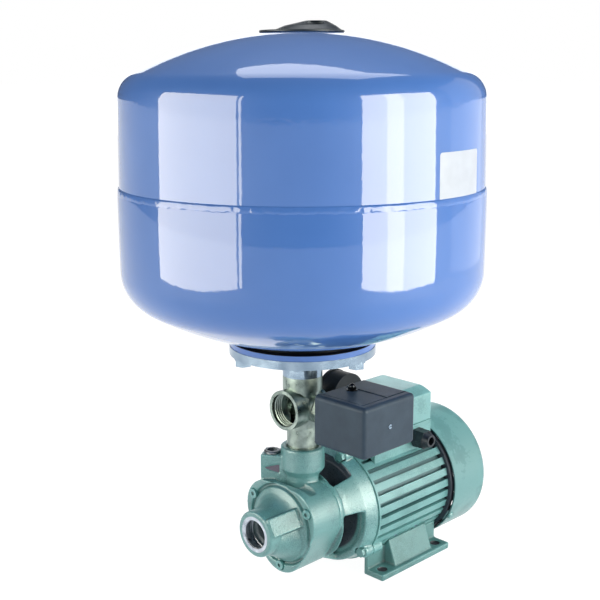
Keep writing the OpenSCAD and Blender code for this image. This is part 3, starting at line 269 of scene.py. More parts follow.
def near_shaft(tree, axes, radius, first, last):
    """Within a radius of the shaft, between two places along it."""
    lifted = add(tree, "Math", {0: axes.outputs["Z"], 1: SHAFT_Z}, operation="SUBTRACT")
    across = add(tree, "CombineXYZ", {"Y": axes.outputs["Y"], "Z": lifted})
    distance = add(tree, "VectorMath", {0: across}, operation="LENGTH")
    near = add(tree, "MapRange", {"Value": distance.outputs["Value"],
                                  "From Min": radius + BLUR, "From Max": radius - BLUR})
    after = add(tree, "Math", {0: axes.outputs["X"], 1: first}, operation="GREATER_THAN")
    before = add(tree, "Math", {0: axes.outputs["X"], 1: last}, operation="LESS_THAN")
    span = add(tree, "Math", {0: after, 1: before}, operation="MULTIPLY")
    return add(tree, "Math", {0: near, 1: span}, operation="MULTIPLY")


def under_the_switch(tree, axes, radius, first, last, above):
    """Painted shade near the shaft, on the faces that look forwards to the pump head, above a
    height.
    """
    near = near_shaft(tree, axes, radius, first, last)
    surface = add(tree, "NewGeometry")
    facing = add(tree, "SeparateXYZ", {0: surface.outputs["Normal"]})
    forwards = add(tree, "MapRange", {"Value": facing.outputs["X"], "From Min": -0.45,
                                      "From Max": -0.8})
    high = add(tree, "MapRange", {"Value": axes.outputs["Z"], "From Min": above,
                                  "From Max": above + FADE})
    both = add(tree, "Math", {0: forwards, 1: high}, operation="MULTIPLY")
    return add(tree, "Math", {0: near, 1: both}, operation="MULTIPLY")


def in_bores(tree, axes, x, y, radius):
    """In four upright bores that stand at plus and minus x and y."""
    apart = {}
    for axis, centre in (("X", x), ("Y", y)):
        size = add(tree, "Math", {0: axes.outputs[axis]}, operation="ABSOLUTE")
        apart[axis] = add(tree, "Math", {0: size, 1: centre}, operation="SUBTRACT")
    across = add(tree, "CombineXYZ", apart)
    distance = add(tree, "VectorMath", {0: across}, operation="LENGTH")
    return add(tree, "Math", {0: distance.outputs["Value"], 1: radius}, operation="LESS_THAN")


def darken(tree, shader, paint, hidden, dark):
    """Where the mask is one, swap the paint for a dull colour without coat: painted shade in the
    hollows, plain grey in the nose's bore.
    """
    coat = shader.inputs["Coat Weight"].default_value
    shown = add(tree, "MapRange", {"Value": hidden, "To Min": coat, "To Max": 0.0})
    feed(tree, shader, {"Coat Weight": shown})
    return add(tree, "MixRGB", {"Fac": hidden, "Color1": paint, "Color2": linear(dark)})


print("a mask's edge is", 2 * BLUR, "mm wide")

# %% [markdown]
# ## The green paint on cast metal
#
# The pump head, the bracket, the motor and the foot are sand or die castings, sprayed
# after machining. The paint follows the grain of the casting, about 1 mm across, and a
# finer speckle from the spray. That breaks the gloss up, so highlights are broad and
# sandy instead of mirror-like. Sheet and moulded pieces get the same paint with less grain
# and fewer specks. Where a net is fine enough, its pointiness paints shade into the inner
# corners and a painted highlight along the outer edges. The gloss is tinted a little
# cooler than white, because the studio's lamps are warm in a mirror.

# %% Green paint
CREASE_SHADE_EDGE_LIGHT = [(0.46, grey(0.5)), (0.495, grey(1.0)), (0.515, grey(1.0)), (0.55, grey(1.3))]
GREEN_TONES = [(0.7, "518985"), (0.95, "5B9591"), (1.0, "69A29E")]
COOL_GLOSS = (0.78, 0.88, 1.0, 1.0)


def dimmed(hex_colour, share):
    return tuple(part * share for part in linear(hex_colour)[:3]) + (1.0,)


def make_green_paint(name, grain, depth, rough, coat=0.6, specks=1.0, crease_shade_edge_light=False, bright=1.0,
                     hollows=()):
    material, tree, shader, place = start_finish(
        name, Roughness=rough, Coat_Weight=0.35 * coat, Coat_Roughness=0.2,
        Specular_IOR_Level=0.5 + 0.5 * coat, Specular_Tint=COOL_GLOSS)
    patches = add(tree, "TexNoise", {"Vector": place, "Scale": 1 / 25.0, "Detail": 3.0})
    speckle = add(tree, "TexNoise", {"Vector": place, "Scale": 1 / (grain * 0.8)})
    dots = add(tree, "Math", {0: speckle, 1: specks, 2: 0.5 - 0.5 * specks},
               operation="MULTIPLY_ADD")
    mixed = add(tree, "Math", {0: patches, 1: dots}, operation="ADD")
    paint = add(tree, "ValToRGB", {"Fac": mixed},
                [(position, dimmed(tone, bright)) for position, tone in GREEN_TONES])
    # Painted shade in the inner corners and a painted highlight on the outer edges, read from the
    # net's pointiness.
    if crease_shade_edge_light:
        surface = add(tree, "NewGeometry")
        edges = add(tree, "ValToRGB", {"Fac": surface.outputs["Pointiness"]}, CREASE_SHADE_EDGE_LIGHT)
        paint = add(tree, "MixRGB", {"Fac": 1.0, "Color1": paint, "Color2": edges},
                    blend_type="MULTIPLY")
    axes = add(tree, "SeparateXYZ", {0: place})
    for mask, sizes, dark in hollows:
        paint = darken(tree, shader, paint, mask(tree, axes, *sizes), dark)
    sand = add(tree, "TexNoise", {"Vector": place, "Scale": 1 / grain, "Detail": 3.0,
                                  "Roughness": 0.6})
    bump = add(tree, "Bump", {"Height": sand, "Strength": depth, "Distance": 0.0004})
    gloss = add(tree, "ValToRGB", {"Fac": speckle},
                [(0.3, grey(rough - 0.06)), (0.7, grey(rough + 0.1))])
    feed(tree, shader, {"Base Color": paint, "Roughness": gloss, "Normal": bump,
                        "Coat Normal": bump})
    return material


print("the green goes from", GREEN_TONES[0][1], "to", GREEN_TONES[-1][1])

# %% [markdown]
# ## A green for each kind of piece
#
# The iron castings are the sandiest, the die castings are finer, and sheet and moulded
# pieces are nearly smooth. All of them share the same three tones, and how bright each one
# is was matched to the photograph, so the dimmer copies stand partly for painted shade,
# and the feet's dark copy is painted shade. Each hollow is given as its mask, its sizes in
# millimetres and the colour of the painted shade there; in the nose's bore that colour is
# a plain dull grey. Near the shaft the sizes are the radius and the two places along it,
# the shade under the switch adds a height, and the feet's holes have their x, y and radius.
# A single paint for everything would be shorter, but then the castings and the sheet would
# look like one material.

# %% List of green paints
# Painted shade: the colours given with the bracket's hollow, the shade under the switch, the fin
# bottoms, the shield's face, the cover's inside and the feet's holes are dark stand-ins for
# shade. The nose's bore gets a plain dull grey.
NOSE_BORE = (15.6, -155.0, -100.0)
BRACKET_HOLLOW = (41.5, -86.5, -50.0)
SWITCH_SHADE = (56.0, -84.0, -50.0, 78.0)
FIN_BOTTOMS = (54.0, -51.5, 50.8)
SHIELD_FACE = (62.0, 50.8, 70.0)
COVER_INSIDE = (62.8, 51.0, 103.0)
FOOT_HOLES = (40.0, 50.0, 4.9)
# Painted shade for three of the hollows.
HOLLOW_SHADE = "2A2F3A"

green_cast = make_green_paint("green_paint_on_cast_iron", 1.3, 0.85, 0.34, coat=0.8, crease_shade_edge_light=True,
                              bright=0.86, hollows=[(near_shaft, NOSE_BORE, "7C888C")])
green_bracket = make_green_paint("green_paint_on_hollow_bracket", 1.3, 0.85, 0.32, coat=1.0,
                                 crease_shade_edge_light=True, bright=0.96,
                                 hollows=[(near_shaft, BRACKET_HOLLOW, HOLLOW_SHADE),
                                          (under_the_switch, SWITCH_SHADE, "2A3442")])
green_diecast = make_green_paint("green_paint_on_die_casting", 0.9, 0.5, 0.42)
# Painted shade: the feet's paint is dimmed to 0.72 of the shared tones, for the shadow that the
# pump casts on them.
green_feet = make_green_paint("green_paint_on_the_feet", 1.1, 0.7, 0.5, coat=0.3, crease_shade_edge_light=True,
                              bright=0.72, hollows=[(in_bores, FOOT_HOLES, "1E262C")])
green_fins = make_green_paint("green_paint_on_the_fins", 0.9, 0.4, 0.42,
                              hollows=[(near_shaft, FIN_BOTTOMS, "3F7072")])
green_shield = make_green_paint("green_paint_on_the_shield", 0.9, 0.4, 0.5,
                                hollows=[(near_shaft, SHIELD_FACE, HOLLOW_SHADE)])
green_sheet = make_green_paint("green_paint_on_sheet_steel", 3.0, 0.12, 0.34, specks=0.25,
                               hollows=[(near_shaft, COVER_INSIDE, HOLLOW_SHADE)])
green_lid = make_green_paint("green_paint_on_the_lid", 1.6, 0.5, 0.36, coat=1.0, specks=0.7,
                             crease_shade_edge_light=True)
print("green paints:", sum("green_paint" in made.name for made in bpy.data.materials))

# %% [markdown]
# ## Metals
#
# A metal has no colour under its reflection, so its look is its tint, its roughness and
# how the tool or the bath left its surface. Zinc plate is bright with soft cloudy
# patches, nickel over cast brass is warmer and a little grainy, and turned parts carry
# fine tool marks. Metals keep the shader's own IOR. The real grain is often finer than
# a pixel of the render, which is nearly 1 mm here, so it is drawn as coarse as it has to
# be. A call gives the dark and the light tint, both ends of the roughness, the size of the
# clouds and of the grain in millimetres, and how deep the grain looks.

# %% Metal finishes
def make_metal(name, dark, light, rough_low, rough_high, cloud_mm, grain_mm, depth):
    material, tree, shader, place = start_finish(name, Metallic=1.0)
    clouds = add(tree, "TexNoise", {"Vector": place, "Scale": 1 / cloud_mm, "Detail": 3.0})
    tone = add(tree, "ValToRGB", {"Fac": clouds}, [(0.3, linear(dark)), (0.7, linear(light))])
    shine = add(tree, "ValToRGB", {"Fac": clouds},
                [(0.3, grey(rough_low)), (0.7, grey(rough_high))])
    grain = add(tree, "TexNoise", {"Vector": place, "Scale": 1 / grain_mm})
    bump = add(tree, "Bump", {"Height": grain, "Strength": depth, "Distance": 0.0002})
    feed(tree, shader, {"Base Color": tone, "Roughness": shine, "Normal": bump})
    return material


zinc_plate = make_metal("bright_zinc_plate", "7F94A8", "9AAEC0", 0.16, 0.24, 14.0, 1.2, 0.06)
nickel_plate = make_metal("nickel_on_cast_brass", "6E7C78", "98A8A4", 0.26, 0.38, 7.0, 0.8, 0.35)
black_oxide = make_metal("blackened_steel", "1E2226", "2C3136", 0.16, 0.28, 4.0, 0.8, 0.1)
dull_zinc = make_metal("dull_zinc_plate", "5E656C", "858D94", 0.3, 0.45, 6.0, 1.0, 0.3)
brass_bare = make_metal("turned_brass", "B98C3F", "D9B266", 0.25, 0.4, 6.0, 0.6, 0.2)
bronze_cast = make_metal("cast_bronze", "9C7434", "BE9550", 0.35, 0.5, 5.0, 0.8, 0.4)
steel_ground = make_metal("ground_steel", "A9ADB2", "C8CBCF", 0.2, 0.35, 5.0, 0.5, 0.15)
lamination = make_metal("stacked_sheet_steel", "6E7278", "8B9096", 0.4, 0.55, 4.0, 0.5, 0.5)
copper_wire = make_metal("enamelled_copper_wire", "8E4A22", "B4683A", 0.25, 0.4, 4.0, 0.8, 0.8)
bare_casting = make_metal("machined_cast_face", "A6B0BC", "C8D1DC", 0.25, 0.4, 6.0, 0.7, 0.3)
print("the zinc's shader has", len(zinc_plate.node_tree.nodes), "nodes")

# %% [markdown]
# ## Plastics, rubber, glass and the rest
#
# The switch cover is moulded ABS with a fine spark-eroded grain. The cap, the gland and
# the fan are nylon or polypropylene, which is duller. The gauge's window is clear
# polycarbonate, and its dial is printed aluminium with a matt white ground. The grain of
# all of these is drawn 0.5 to 3 mm across, coarser than it is, so that it shows. A call
# gives the dark and the light tone, the roughness, the size and the depth of the grain,
# and for a few pieces a coat or a weaker gloss.

# %% Other finishes
def make_moulded(name, dark, light, rough, grain_mm, depth, coat=0.0, gloss=0.5):
    material, tree, shader, place = start_finish(
        name, Roughness=rough, Coat_Weight=coat, Coat_Roughness=0.25,
        Specular_IOR_Level=gloss, Specular_Tint=COOL_GLOSS)
    clouds = add(tree, "TexNoise", {"Vector": place, "Scale": 1 / 14.0, "Detail": 3.0})
    tone = add(tree, "ValToRGB", {"Fac": clouds}, [(0.3, linear(dark)), (0.7, linear(light))])
    grain = add(tree, "TexNoise", {"Vector": place, "Scale": 1 / grain_mm})
    shine = add(tree, "ValToRGB", {"Fac": grain},
                [(0.3, grey(rough - 0.05)), (0.7, grey(rough + 0.08))])
    bump = add(tree, "Bump", {"Height": grain, "Strength": depth, "Distance": 0.0002})
    feed(tree, shader, {"Base Color": tone, "Roughness": shine, "Normal": bump})
    return material


slate_abs = make_moulded("moulded_slate_abs", "2A3947", "334350", 0.46, 0.5, 0.25, gloss=0.25)
black_nylon = make_moulded("moulded_black_nylon", "171C21", "20262C", 0.4, 0.6, 0.25)
black_rubber = make_moulded("moulded_black_rubber", "121416", "1B1D20", 0.6, 0.8, 0.3)
cap_plastic = make_moulded("moulded_cap_polypropylene", "1D252C", "28313A", 0.4, 0.7, 0.3, 0.15)
arrow_ink = make_moulded("dark_arrow_paint", "5E5664", "6B6370", 0.5, 1.0, 0.2)
white_plastic = make_moulded("moulded_white_polyester", "DCDCD6", "E8E8E2", 0.4, 0.8, 0.2)
phenolic = make_moulded("pressed_phenolic", "A68455", "BC9A68", 0.5, 0.7, 0.3)
ceramic = make_moulded("sintered_ceramic", "E2DFD6", "EEEBE2", 0.3, 0.8, 0.1)
carbon = make_moulded("lapped_carbon", "2A2A2C", "363638", 0.45, 0.6, 0.2)
gauge_paint = make_moulded("black_paint_on_steel_case", "0B1014", "12191E", 0.45, 1.2, 0.2,
                           gloss=0.25)
dial_white = make_moulded("printed_dial_ground", "ECECE8", "F4F4F1", 0.5, 1.5, 0.05)
dial_black = make_moulded("printed_dial_ink", "101214", "16181A", 0.5, 1.0, 0.05)
label_white = make_moulded("blank_vinyl_label", "B4BAC1", "BCC2C9", 0.5, 3.0, 0.05, 0.3)


WINDOW_IOR = 1.58


def make_window():
    material, tree, shader, place = start_finish(
        "clear_polycarbonate", Roughness=0.05, IOR=WINDOW_IOR, Transmission_Weight=1.0)
    haze = add(tree, "TexNoise", {"Vector": place, "Scale": 1 / 3.0})
    rough = add(tree, "ValToRGB", {"Fac": haze}, [(0.3, grey(0.02)), (0.7, grey(0.06))])
    feed(tree, shader, {"Base Color": linear("EEF3F3"), "Roughness": rough})
    return material


clear_window = make_window()
print("the window's index of refraction is", WINDOW_IOR)

# %% [markdown]
# ## Dressing the CAD nodes
#
# Most solids already have the right shape, so they stay and only change their finish. A
# table from node to finish makes it easy to see that no node is left out.

# %% Paint the nodes
finishes = {
    blue_enamel: ["tank_upper_shell", "tank_lower_shell"],
    ring_enamel: ["tank_flange_ring"],
    zinc_plate: ["counter_flange", "flange_bolts", "diaphragm_housing", "switch_cover_screw",
                 "range_stud", "range_nut", "foot_screws", "lid_screws"],
    dull_zinc: ["priming_plug", "switch_base"],
    black_oxide: ["switch_side_nut"],
    nickel_plate: ["five_way_fitting", "switch_nut"],
    brass_bare: ["air_valve", "air_valve_pin", "gauge_stem", "bourdon_tube"],
    bronze_cast: ["impeller", "wear_plate"],
    steel_ground: ["motor_shaft", "front_bearing", "rear_bearing", "range_spring"],
    lamination: ["rotor_core", "stator_core"],
    copper_wire: ["windings"],
    green_cast: ["pump_body", "head_screws"],
    green_bracket: ["lantern_bracket"],
    green_diecast: ["terminal_base", "tie_bolts", "cover_screws"],
    green_feet: ["feet"],
    green_fins: ["motor_housing"],
    green_shield: ["rear_shield"],
    green_sheet: ["fan_cover"],
    green_lid: ["terminal_lid"],
    slate_abs: ["switch_cover"],
    black_nylon: ["gland_body", "gland_nut", "fan"],
    cap_plastic: ["valve_cap"],
    black_rubber: ["membrane", "diaphragm", "body_o_ring", "gland_seal"],
    white_plastic: ["capacitor"],
    phenolic: ["contact_arm", "terminal_strip", "terminal_block"],
    ceramic: ["seal_seat"],
    carbon: ["seal_ring"],
    gauge_paint: ["gauge_case"],
    dial_white: ["gauge_dial"],
    dial_black: ["gauge_needle"],
    clear_window: ["gauge_glass"],
}
dressed = set()
for finish, names in finishes.items():
    for name in names:
        mesh = nodes[name].data
        if not mesh.materials:
            mesh.materials.append(finish)
        for index in range(len(mesh.materials)):
            mesh.materials[index] = finish
        dressed.add(name)
print("nodes without a finish:", sorted(set(nodes) - dressed))

# %% [markdown]
# ## Soft cast edges
#
# A casting has no sharp edge: sand and wax leave rounded corners, and inner corners are
# filled so that the metal flows. Bevelling every edge of a solid that was cut by dozens of
# bores would tear, so each casting is covered with a fine even net of cells instead, and
# the net is relaxed a few times. That rounds outer edges and fills inner ones by about a
# millimetre, as in a mould. The moulded lid and the tank's cap get the same treatment. A
# CAD node's own mesh is in metres, so the distance at which its points merge is too.

# %% Soften the castings
SAME_POINT_M = 1e-6
RELAX = 0.5


def soft_casting(node, name, finish, cell_mm, rounds):
    source = nodes[node].data.copy()
    bm = bmesh.new()
    bm.from_mesh(source)
    bmesh.ops.remove_doubles(bm, verts=bm.verts, dist=SAME_POINT_M)
    bm.to_mesh(source)
    bm.free()
    rough_piece = bpy.data.objects.new(name + "_rough", source)
    bpy.context.collection.objects.link(rough_piece)
    net = rough_piece.modifiers.new("net", "REMESH")
    net.mode = "VOXEL"
    net.voxel_size = cell_mm * MM
    relax = rough_piece.modifiers.new("relax", "SMOOTH")
    relax.factor = RELAX
    relax.iterations = rounds
    graph = bpy.context.evaluated_depsgraph_get()
    mesh = bpy.data.meshes.new_from_object(rough_piece.evaluated_get(graph))
    mesh.name = name
    bpy.data.objects.remove(rough_piece)
    piece = bpy.data.objects.new(name, mesh)
    bpy.context.collection.objects.link(piece)
    mesh.materials.clear()
    mesh.materials.append(finish)
    mesh.shade_smooth()
    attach(piece, "root")
    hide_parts(node)
    print(name, "has", len(mesh.polygons), "faces")


soft_casting("pump_body", "pump_body_cast", green_cast, 0.8, 4)
soft_casting("lantern_bracket", "lantern_bracket_cast", green_bracket, 0.9, 5)
soft_casting("feet", "feet_cast", green_feet, 0.9, 4)
soft_casting("terminal_lid", "terminal_lid_moulded", green_lid, 0.9, 3)
soft_casting("valve_cap", "valve_cap_moulded", cap_plastic, 0.5, 5)

# %% [markdown]
# ## Smooth tank shells
#
# The tank is one big mirror, and a mirror shows every facet of the solid's coarse mesh. So
# both shells are spun again from the same profile with many more steps. A dished end is a
# large cap arc and a small knuckle arc that meet without a kink. Subdividing the solid's
# own mesh would be quicker, but it keeps the facets that the mirror shows.

# %% Outline of a dished shell
INSET = 0.03


def dished_end(radius, depth, knuckle, steps=24):
    """Points (radius, height above the rim) from the rim to the middle of a dished end."""
    flat = radius - knuckle
    cap = (flat * flat + depth * depth - knuckle * knuckle) / (2 * (depth - knuckle))
    meet = math.atan2(flat, cap - depth)
    points = []
    for step in range(steps + 1):
        turn = (math.pi / 2 - meet) * step / steps
        points.append((flat + knuckle * math.cos(turn), knuckle * math.sin(turn)))
    for step in range(1, steps + 1):
        turn = meet * (1 - step / steps)
        points.append((cap * math.sin(turn), depth - cap + cap * math.cos(turn)))
    return points


def cut_hole(points, hole):
    """Leave out what is nearer to the axis than the hole, and end on its edge."""
    kept = [point for point in points if point[0] > hole]
    return kept + [(hole, kept[-1][1])]


def dished_wall(radius, depth, knuckle, hole, rim_z, up):
    """The outer and the inner outline of a dished sheet, from its rim to its hole."""
    outer = cut_hole(dished_end(radius, depth, knuckle), hole)
    inner = cut_hole(dished_end(radius - SHEET, depth - SHEET, knuckle - SHEET), hole)
    return ([(r - INSET, rim_z + up * h) for r, h in outer],
            [(r, rim_z + up * h) for r, h in inner])


print("a shell's skin is drawn", INSET, "mm inside the solid's, so that it can't stick out")

# %% [markdown]
# ## Spinning the shells
#
# The upper shell leans in a little towards its top, and its lower edge goes down inside the
# lower shell, as in a lap joint. The lower shell's edge is rolled in against it. Each
# outline runs up the outside and comes back down the inside, so the spun piece is a closed
# sheet with the real thickness.

# %% Tank shells
SHELL_STEPS = 360


def smooth_shell(node, outer, inner):
    spun = spun_profile(outer + inner[::-1], (TANK_X, 0, 0), (0, 0, 1), (1, 0, 0), SHELL_STEPS)
    print(node, "has", len(spun.faces), "faces")
    piece = finish_piece(node + "_smooth", spun, blue_enamel, crease=35)
    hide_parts(node)


TOP_RIM_Z = 444.0
TOP_DISH = 55.8
TOP_KNUCKLE = 24.0
SIDE_LEAN = 1.4
VALVE_HOLE_R = 5.0
LAP = 12.0
top_outer, top_inner = dished_wall(UPPER_R - SIDE_LEAN, TOP_DISH, TOP_KNUCKLE, VALVE_HOLE_R,
                                   TOP_RIM_Z, 1)
smooth_shell("tank_upper_shell",
             [(UPPER_R - INSET, SEAM_Z - LAP), (UPPER_R - INSET, SEAM_Z)] + top_outer,
             [(UPPER_R - SHEET, SEAM_Z - LAP), (UPPER_R - SHEET, SEAM_Z)] + top_inner)

LOW_RIM_Z = 299.0
LOW_DISH = 69.0
LOW_KNUCKLE = 37.0
FITTING_HOLE_R = 50.0
LAP_GAP = 0.05
ROLLED_EDGE = 5.0
low_outer, low_inner = dished_wall(TANK_R, LOW_DISH, LOW_KNUCKLE, FITTING_HOLE_R, LOW_RIM_Z, -1)
smooth_shell("tank_lower_shell",
             [(UPPER_R + LAP_GAP, SEAM_Z + ROLLED_EDGE), (TANK_R - INSET, SEAM_Z)] + low_outer,
             [(UPPER_R + LAP_GAP, SEAM_Z), (TANK_R - SHEET, SEAM_Z - 0.1)] + low_inner)

# %% [markdown]
# ## The seam weld
#
# The upper shell slips inside the lower one, and a machine runs a weld round the lap. The
# bead is a low, slightly wavy ridge just above the lower shell's edge, with small ripples
# where the arc moved on. A half-round outline is spun about the tank's axis, and noise
# lifts and lowers its points. The outline is given as steps out from the upper shell and
# up from the seam.

# %% Seam weld
BEAD = [(-0.6, 1.0), (0.95, 0.9), (1.15, 2.2), (0.95, 4.0), (0.55, 5.6), (-0.05, 7.0),
        (-0.6, 7.2)]
BEAD_STEPS = 900
RIPPLE = 0.35
WANDER = 0.9
bead = spun_profile([(UPPER_R + out, SEAM_Z + rise) for out, rise in BEAD],
                    (TANK_X, 0, 0), (0, 0, 1), (1, 0, 0), BEAD_STEPS)
for vert in bead.verts:
    outward = Vector((vert.co.x - TANK_X, vert.co.y, 0.0))
    radius = outward.length
    if radius > UPPER_R:
        ripple = noise.noise(vert.co * 0.22) + 0.7 * noise.noise(vert.co * 0.75)
        vert.co += outward / radius * min(RIPPLE * ripple, TANK_R - LAP_GAP - radius)
        vert.co.z += WANDER * noise.noise(vert.co * 0.09)
print("weld ring has", len(bead.faces), "faces")
finish_piece("seam_weld", bead, blue_enamel, crease=60)

# %% [markdown]
# ## The blank label
#
# A white vinyl label sits on the upper shell, above the seam. It is a thin sheet that
# follows the tank's side. A flat rectangle gets round corners from a bevel and is cut into
# upright strips, because only points can move. Then it is bent round the tank's axis, and
# it stands about 0.1 mm proud of the enamel. It carries no print.

# %% Blank label
LABEL_TURN = (-93.4, -72.4)
LABEL_HEIGHT = (369.8, 406.2)
LABEL_CORNER = 2.5
LABEL_STRIPS = 24
LABEL_LIFT = 0.12
LABEL_SHEET = 0.1
DRAFT = SIDE_LEAN / (TOP_RIM_Z - SEAM_Z)


def bend_onto_shell(turn_deg, height, lift):
    radius = UPPER_R - DRAFT * (height - SEAM_Z) + lift
    angle = math.radians(turn_deg)
    return Vector((TANK_X + radius * math.cos(angle), radius * math.sin(angle), height))


label = bmesh.new()
label_arc = math.radians(LABEL_TURN[1] - LABEL_TURN[0]) * UPPER_R
corners = [label.verts.new((x, y, 0)) for x, y in
           ((0, LABEL_HEIGHT[0]), (label_arc, LABEL_HEIGHT[0]),
            (label_arc, LABEL_HEIGHT[1]), (0, LABEL_HEIGHT[1]))]
label.faces.new(corners)
bmesh.ops.bevel(label, geom=corners, offset=LABEL_CORNER, affect="VERTICES", segments=5,
                profile=0.5, material=-1)
for cut in range(1, LABEL_STRIPS):
    bmesh.ops.bisect_plane(label, geom=label.verts[:] + label.edges[:] + label.faces[:],
                           plane_co=(label_arc * cut / LABEL_STRIPS, 0, 0), plane_no=(1, 0, 0))
for vert in label.verts:
    degrees = LABEL_TURN[0] + math.degrees(vert.co.x / UPPER_R)
    vert.co = bend_onto_shell(degrees, vert.co.y, LABEL_LIFT)
bmesh.ops.recalc_face_normals(label, faces=label.faces)
if label.faces[:][0].normal.y > 0:
    bmesh.ops.reverse_faces(label, faces=label.faces)
bmesh.ops.solidify(label, geom=label.faces, thickness=LABEL_SHEET)
print("label is", round(label_arc, 1), "mm wide")
finish_piece("blank_label", label, label_white, crease=30)

# %% [markdown]
# ## Threads in the two pipe ports
#
# Both open ports have a G1 pipe thread, with a ridge every 2.3 mm. A small four-cornered
# outline moved along a screw path makes the ridge: the spin operator takes a small shift
# for each step, so one call turns and advances it. The outline is given as steps along the
# bore and in from its wall, and its foot is sunk a little into the wall.

# %% Pipe threads
RIDGE = [(0.0, 0.0), (1.7, 0.0), (1.05, 1.0), (0.65, 1.0)]
RIDGE_START = 1.6
RIDGE_SUNK = 0.05
STEPS_PER_TURN = 64


def thread_ridge(name, mouth, inward, across, turns, finish):
    bm = bmesh.new()
    inward = Vector(inward)
    across = Vector(across)
    centre = Vector(mouth)
    root = centre + across * (PORT_R + RIDGE_SUNK) + inward * RIDGE_START
    profile = [bm.verts.new(root + inward * along - across * high) for along, high in RIDGE]
    face = bm.faces.new(profile)
    bmesh.ops.spin(bm, geom=[face] + face.edges[:] + face.verts[:], cent=centre, axis=inward,
                   dvec=inward * (G1_PITCH / STEPS_PER_TURN), angle=math.tau * turns,
                   steps=int(turns * STEPS_PER_TURN))
    bmesh.ops.remove_doubles(bm, verts=bm.verts, dist=MERGE / 2)
    bmesh.ops.recalc_face_normals(bm, faces=bm.faces)
    print(name, "has", len(bm.faces), "faces")
    finish_piece(name, bm, finish, crease=30)


thread_ridge("delivery_thread", (DELIVERY_X, 0, PORT_Z), (1, 0, 0), (0, 0, 1), 4.0,
             nickel_plate)
thread_ridge("suction_thread", (NOSE_X, 0, SHAFT_Z), (1, 0, 0), (0, 0, 1), 4.5,
             bare_casting)

# %% [markdown]
# ## The machined ring on the suction nose
#
# The nose is faced and bored after casting and masked when the pump is painted, so a
# bright ring of bare metal shows round the bore. A thin washer-shaped ring lies in the
# mouth, with its inner edge broken by a small chamfer. Its outline is given as steps out
# from the bore and in from the nose's face.

# %% Machined ring
NOSE_RING = [(-2.6, 0.9), (-1.8, 0.0), (1.3, -0.05), (1.3, 0.15), (-0.05, 0.2), (-0.05, 5.0),
             (-2.6, 5.0)]
NOSE_RING_STEPS = 96
nose_ring = spun_profile([(PORT_R + out, along) for out, along in NOSE_RING],
                         (NOSE_X, 0, SHAFT_Z), (1, 0, 0), (0, 0, 1), NOSE_RING_STEPS)
print("nose ring has", len(nose_ring.faces), "faces")
finish_piece("nose_machined_ring", nose_ring, bare_casting, crease=25)

# %% [markdown]
# ## The flow arrow's paint
#
# The arrow on the priming block is cast as a recess, and its bottom is filled with dark
# paint. A thin triangular plate lies in the recess, turned with the block's face.

# %% Arrow paint
ARROW_TURN = math.radians(32.0)
ARROW_FACE = 11.2
ARROW_FIRST = 19.2
ARROW_LENGTH = 16.4
ARROW_HALF = 4.3
ARROW_Z = 110.9
ARROW_DEPTH = 0.6
arrow = bmesh.new()
front = [arrow.verts.new((-ARROW_FACE, ARROW_FIRST + length, ARROW_Z + rise))
         for length, rise in ((0, -ARROW_HALF), (ARROW_LENGTH, 0), (0, ARROW_HALF))]
made = bmesh.ops.extrude_face_region(arrow, geom=[arrow.faces.new(front)])
bmesh.ops.translate(arrow, vec=(ARROW_DEPTH, 0, 0),
                    verts=[v for v in made["geom"] if isinstance(v, bmesh.types.BMVert)])
bmesh.ops.rotate(arrow, cent=(0, 0, 0), matrix=Matrix.Rotation(ARROW_TURN, 3, "Z"),
                 verts=arrow.verts)
bmesh.ops.translate(arrow, vec=(TANK_X, 0, 0), verts=arrow.verts)
bmesh.ops.recalc_face_normals(arrow, faces=arrow.faces)
print("arrow paint is", ARROW_LENGTH, "mm long")
finish_piece("flow_arrow_paint", arrow, arrow_ink, smooth=False)

# %% [markdown]
# ## The gauge's scale
#
# The dial faces away from the camera, but the object is seen from all sides. The scale
# covers 270 degrees with long marks at each unit and short ones between. Each mark is a
# thin bar: a cube is scaled, then turned about the dial's centre.

# %% Gauge scale
dial_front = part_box("gauge_dial")[1][1] / MM
START_TURN = 225.0
SWEEP = 270.0
UNITS = 6
PER_UNIT = 5
SCALE_R = 15.6
LONG_MARK = (3.2, 0.5)
SHORT_MARK = (1.8, 0.25)
MARK_THICK = 0.08
MARK_LIFT = 0.06
scale_marks = bmesh.new()
for step in range(UNITS * PER_UNIT + 1):
    length, width = SHORT_MARK if step % PER_UNIT else LONG_MARK
    made = bmesh.ops.create_cube(scale_marks, size=1.0)
    bmesh.ops.scale(scale_marks, vec=(length, MARK_THICK, width), verts=made["verts"])
    bmesh.ops.translate(scale_marks, vec=(SCALE_R - length / 2, 0, 0), verts=made["verts"])
    angle = math.radians(START_TURN - SWEEP * step / (UNITS * PER_UNIT))
    bmesh.ops.rotate(scale_marks, cent=(0, 0, 0), matrix=Matrix.Rotation(angle, 3, "Y"),
                     verts=made["verts"])
bmesh.ops.translate(scale_marks, vec=(GAUGE.x, dial_front + MARK_LIFT, GAUGE.z),
                    verts=scale_marks.verts)
print("scale marks:", UNITS * PER_UNIT + 1)
finish_piece("gauge_scale", scale_marks, dial_black, smooth=False)

# %% [markdown]
# ## The floor
#
# The object stands on a pale floor with only a faint shadow under its feet. Plain white
# paint would look grey at its far side, and a floor that glows would throw far too much
# light up at the object. So the floor is a mix of both. The camera sees mostly the glow, a
# mirror sees a little less of it, and the rays that light the object see mostly the paint.
# The Light Path node tells these rays apart.

# %% Floor
FLOOR_R = 30.0
FLOOR_STEPS = 96
FLOOR_GREY = 0.82
FLOOR_STRENGTH = 1.15
FLOOR_GLOW = 0.84
FLOOR_BOUNCE = 0.26
FLOOR_MIRRORED = 0.85

disc = bmesh.new()
bmesh.ops.create_circle(disc, cap_ends=True, radius=FLOOR_R, segments=FLOOR_STEPS)
floor_mesh = bpy.data.meshes.new("studio_floor")
disc.to_mesh(floor_mesh)
disc.free()
floor = bpy.data.objects.new("studio_floor", floor_mesh)
bpy.context.collection.objects.link(floor)

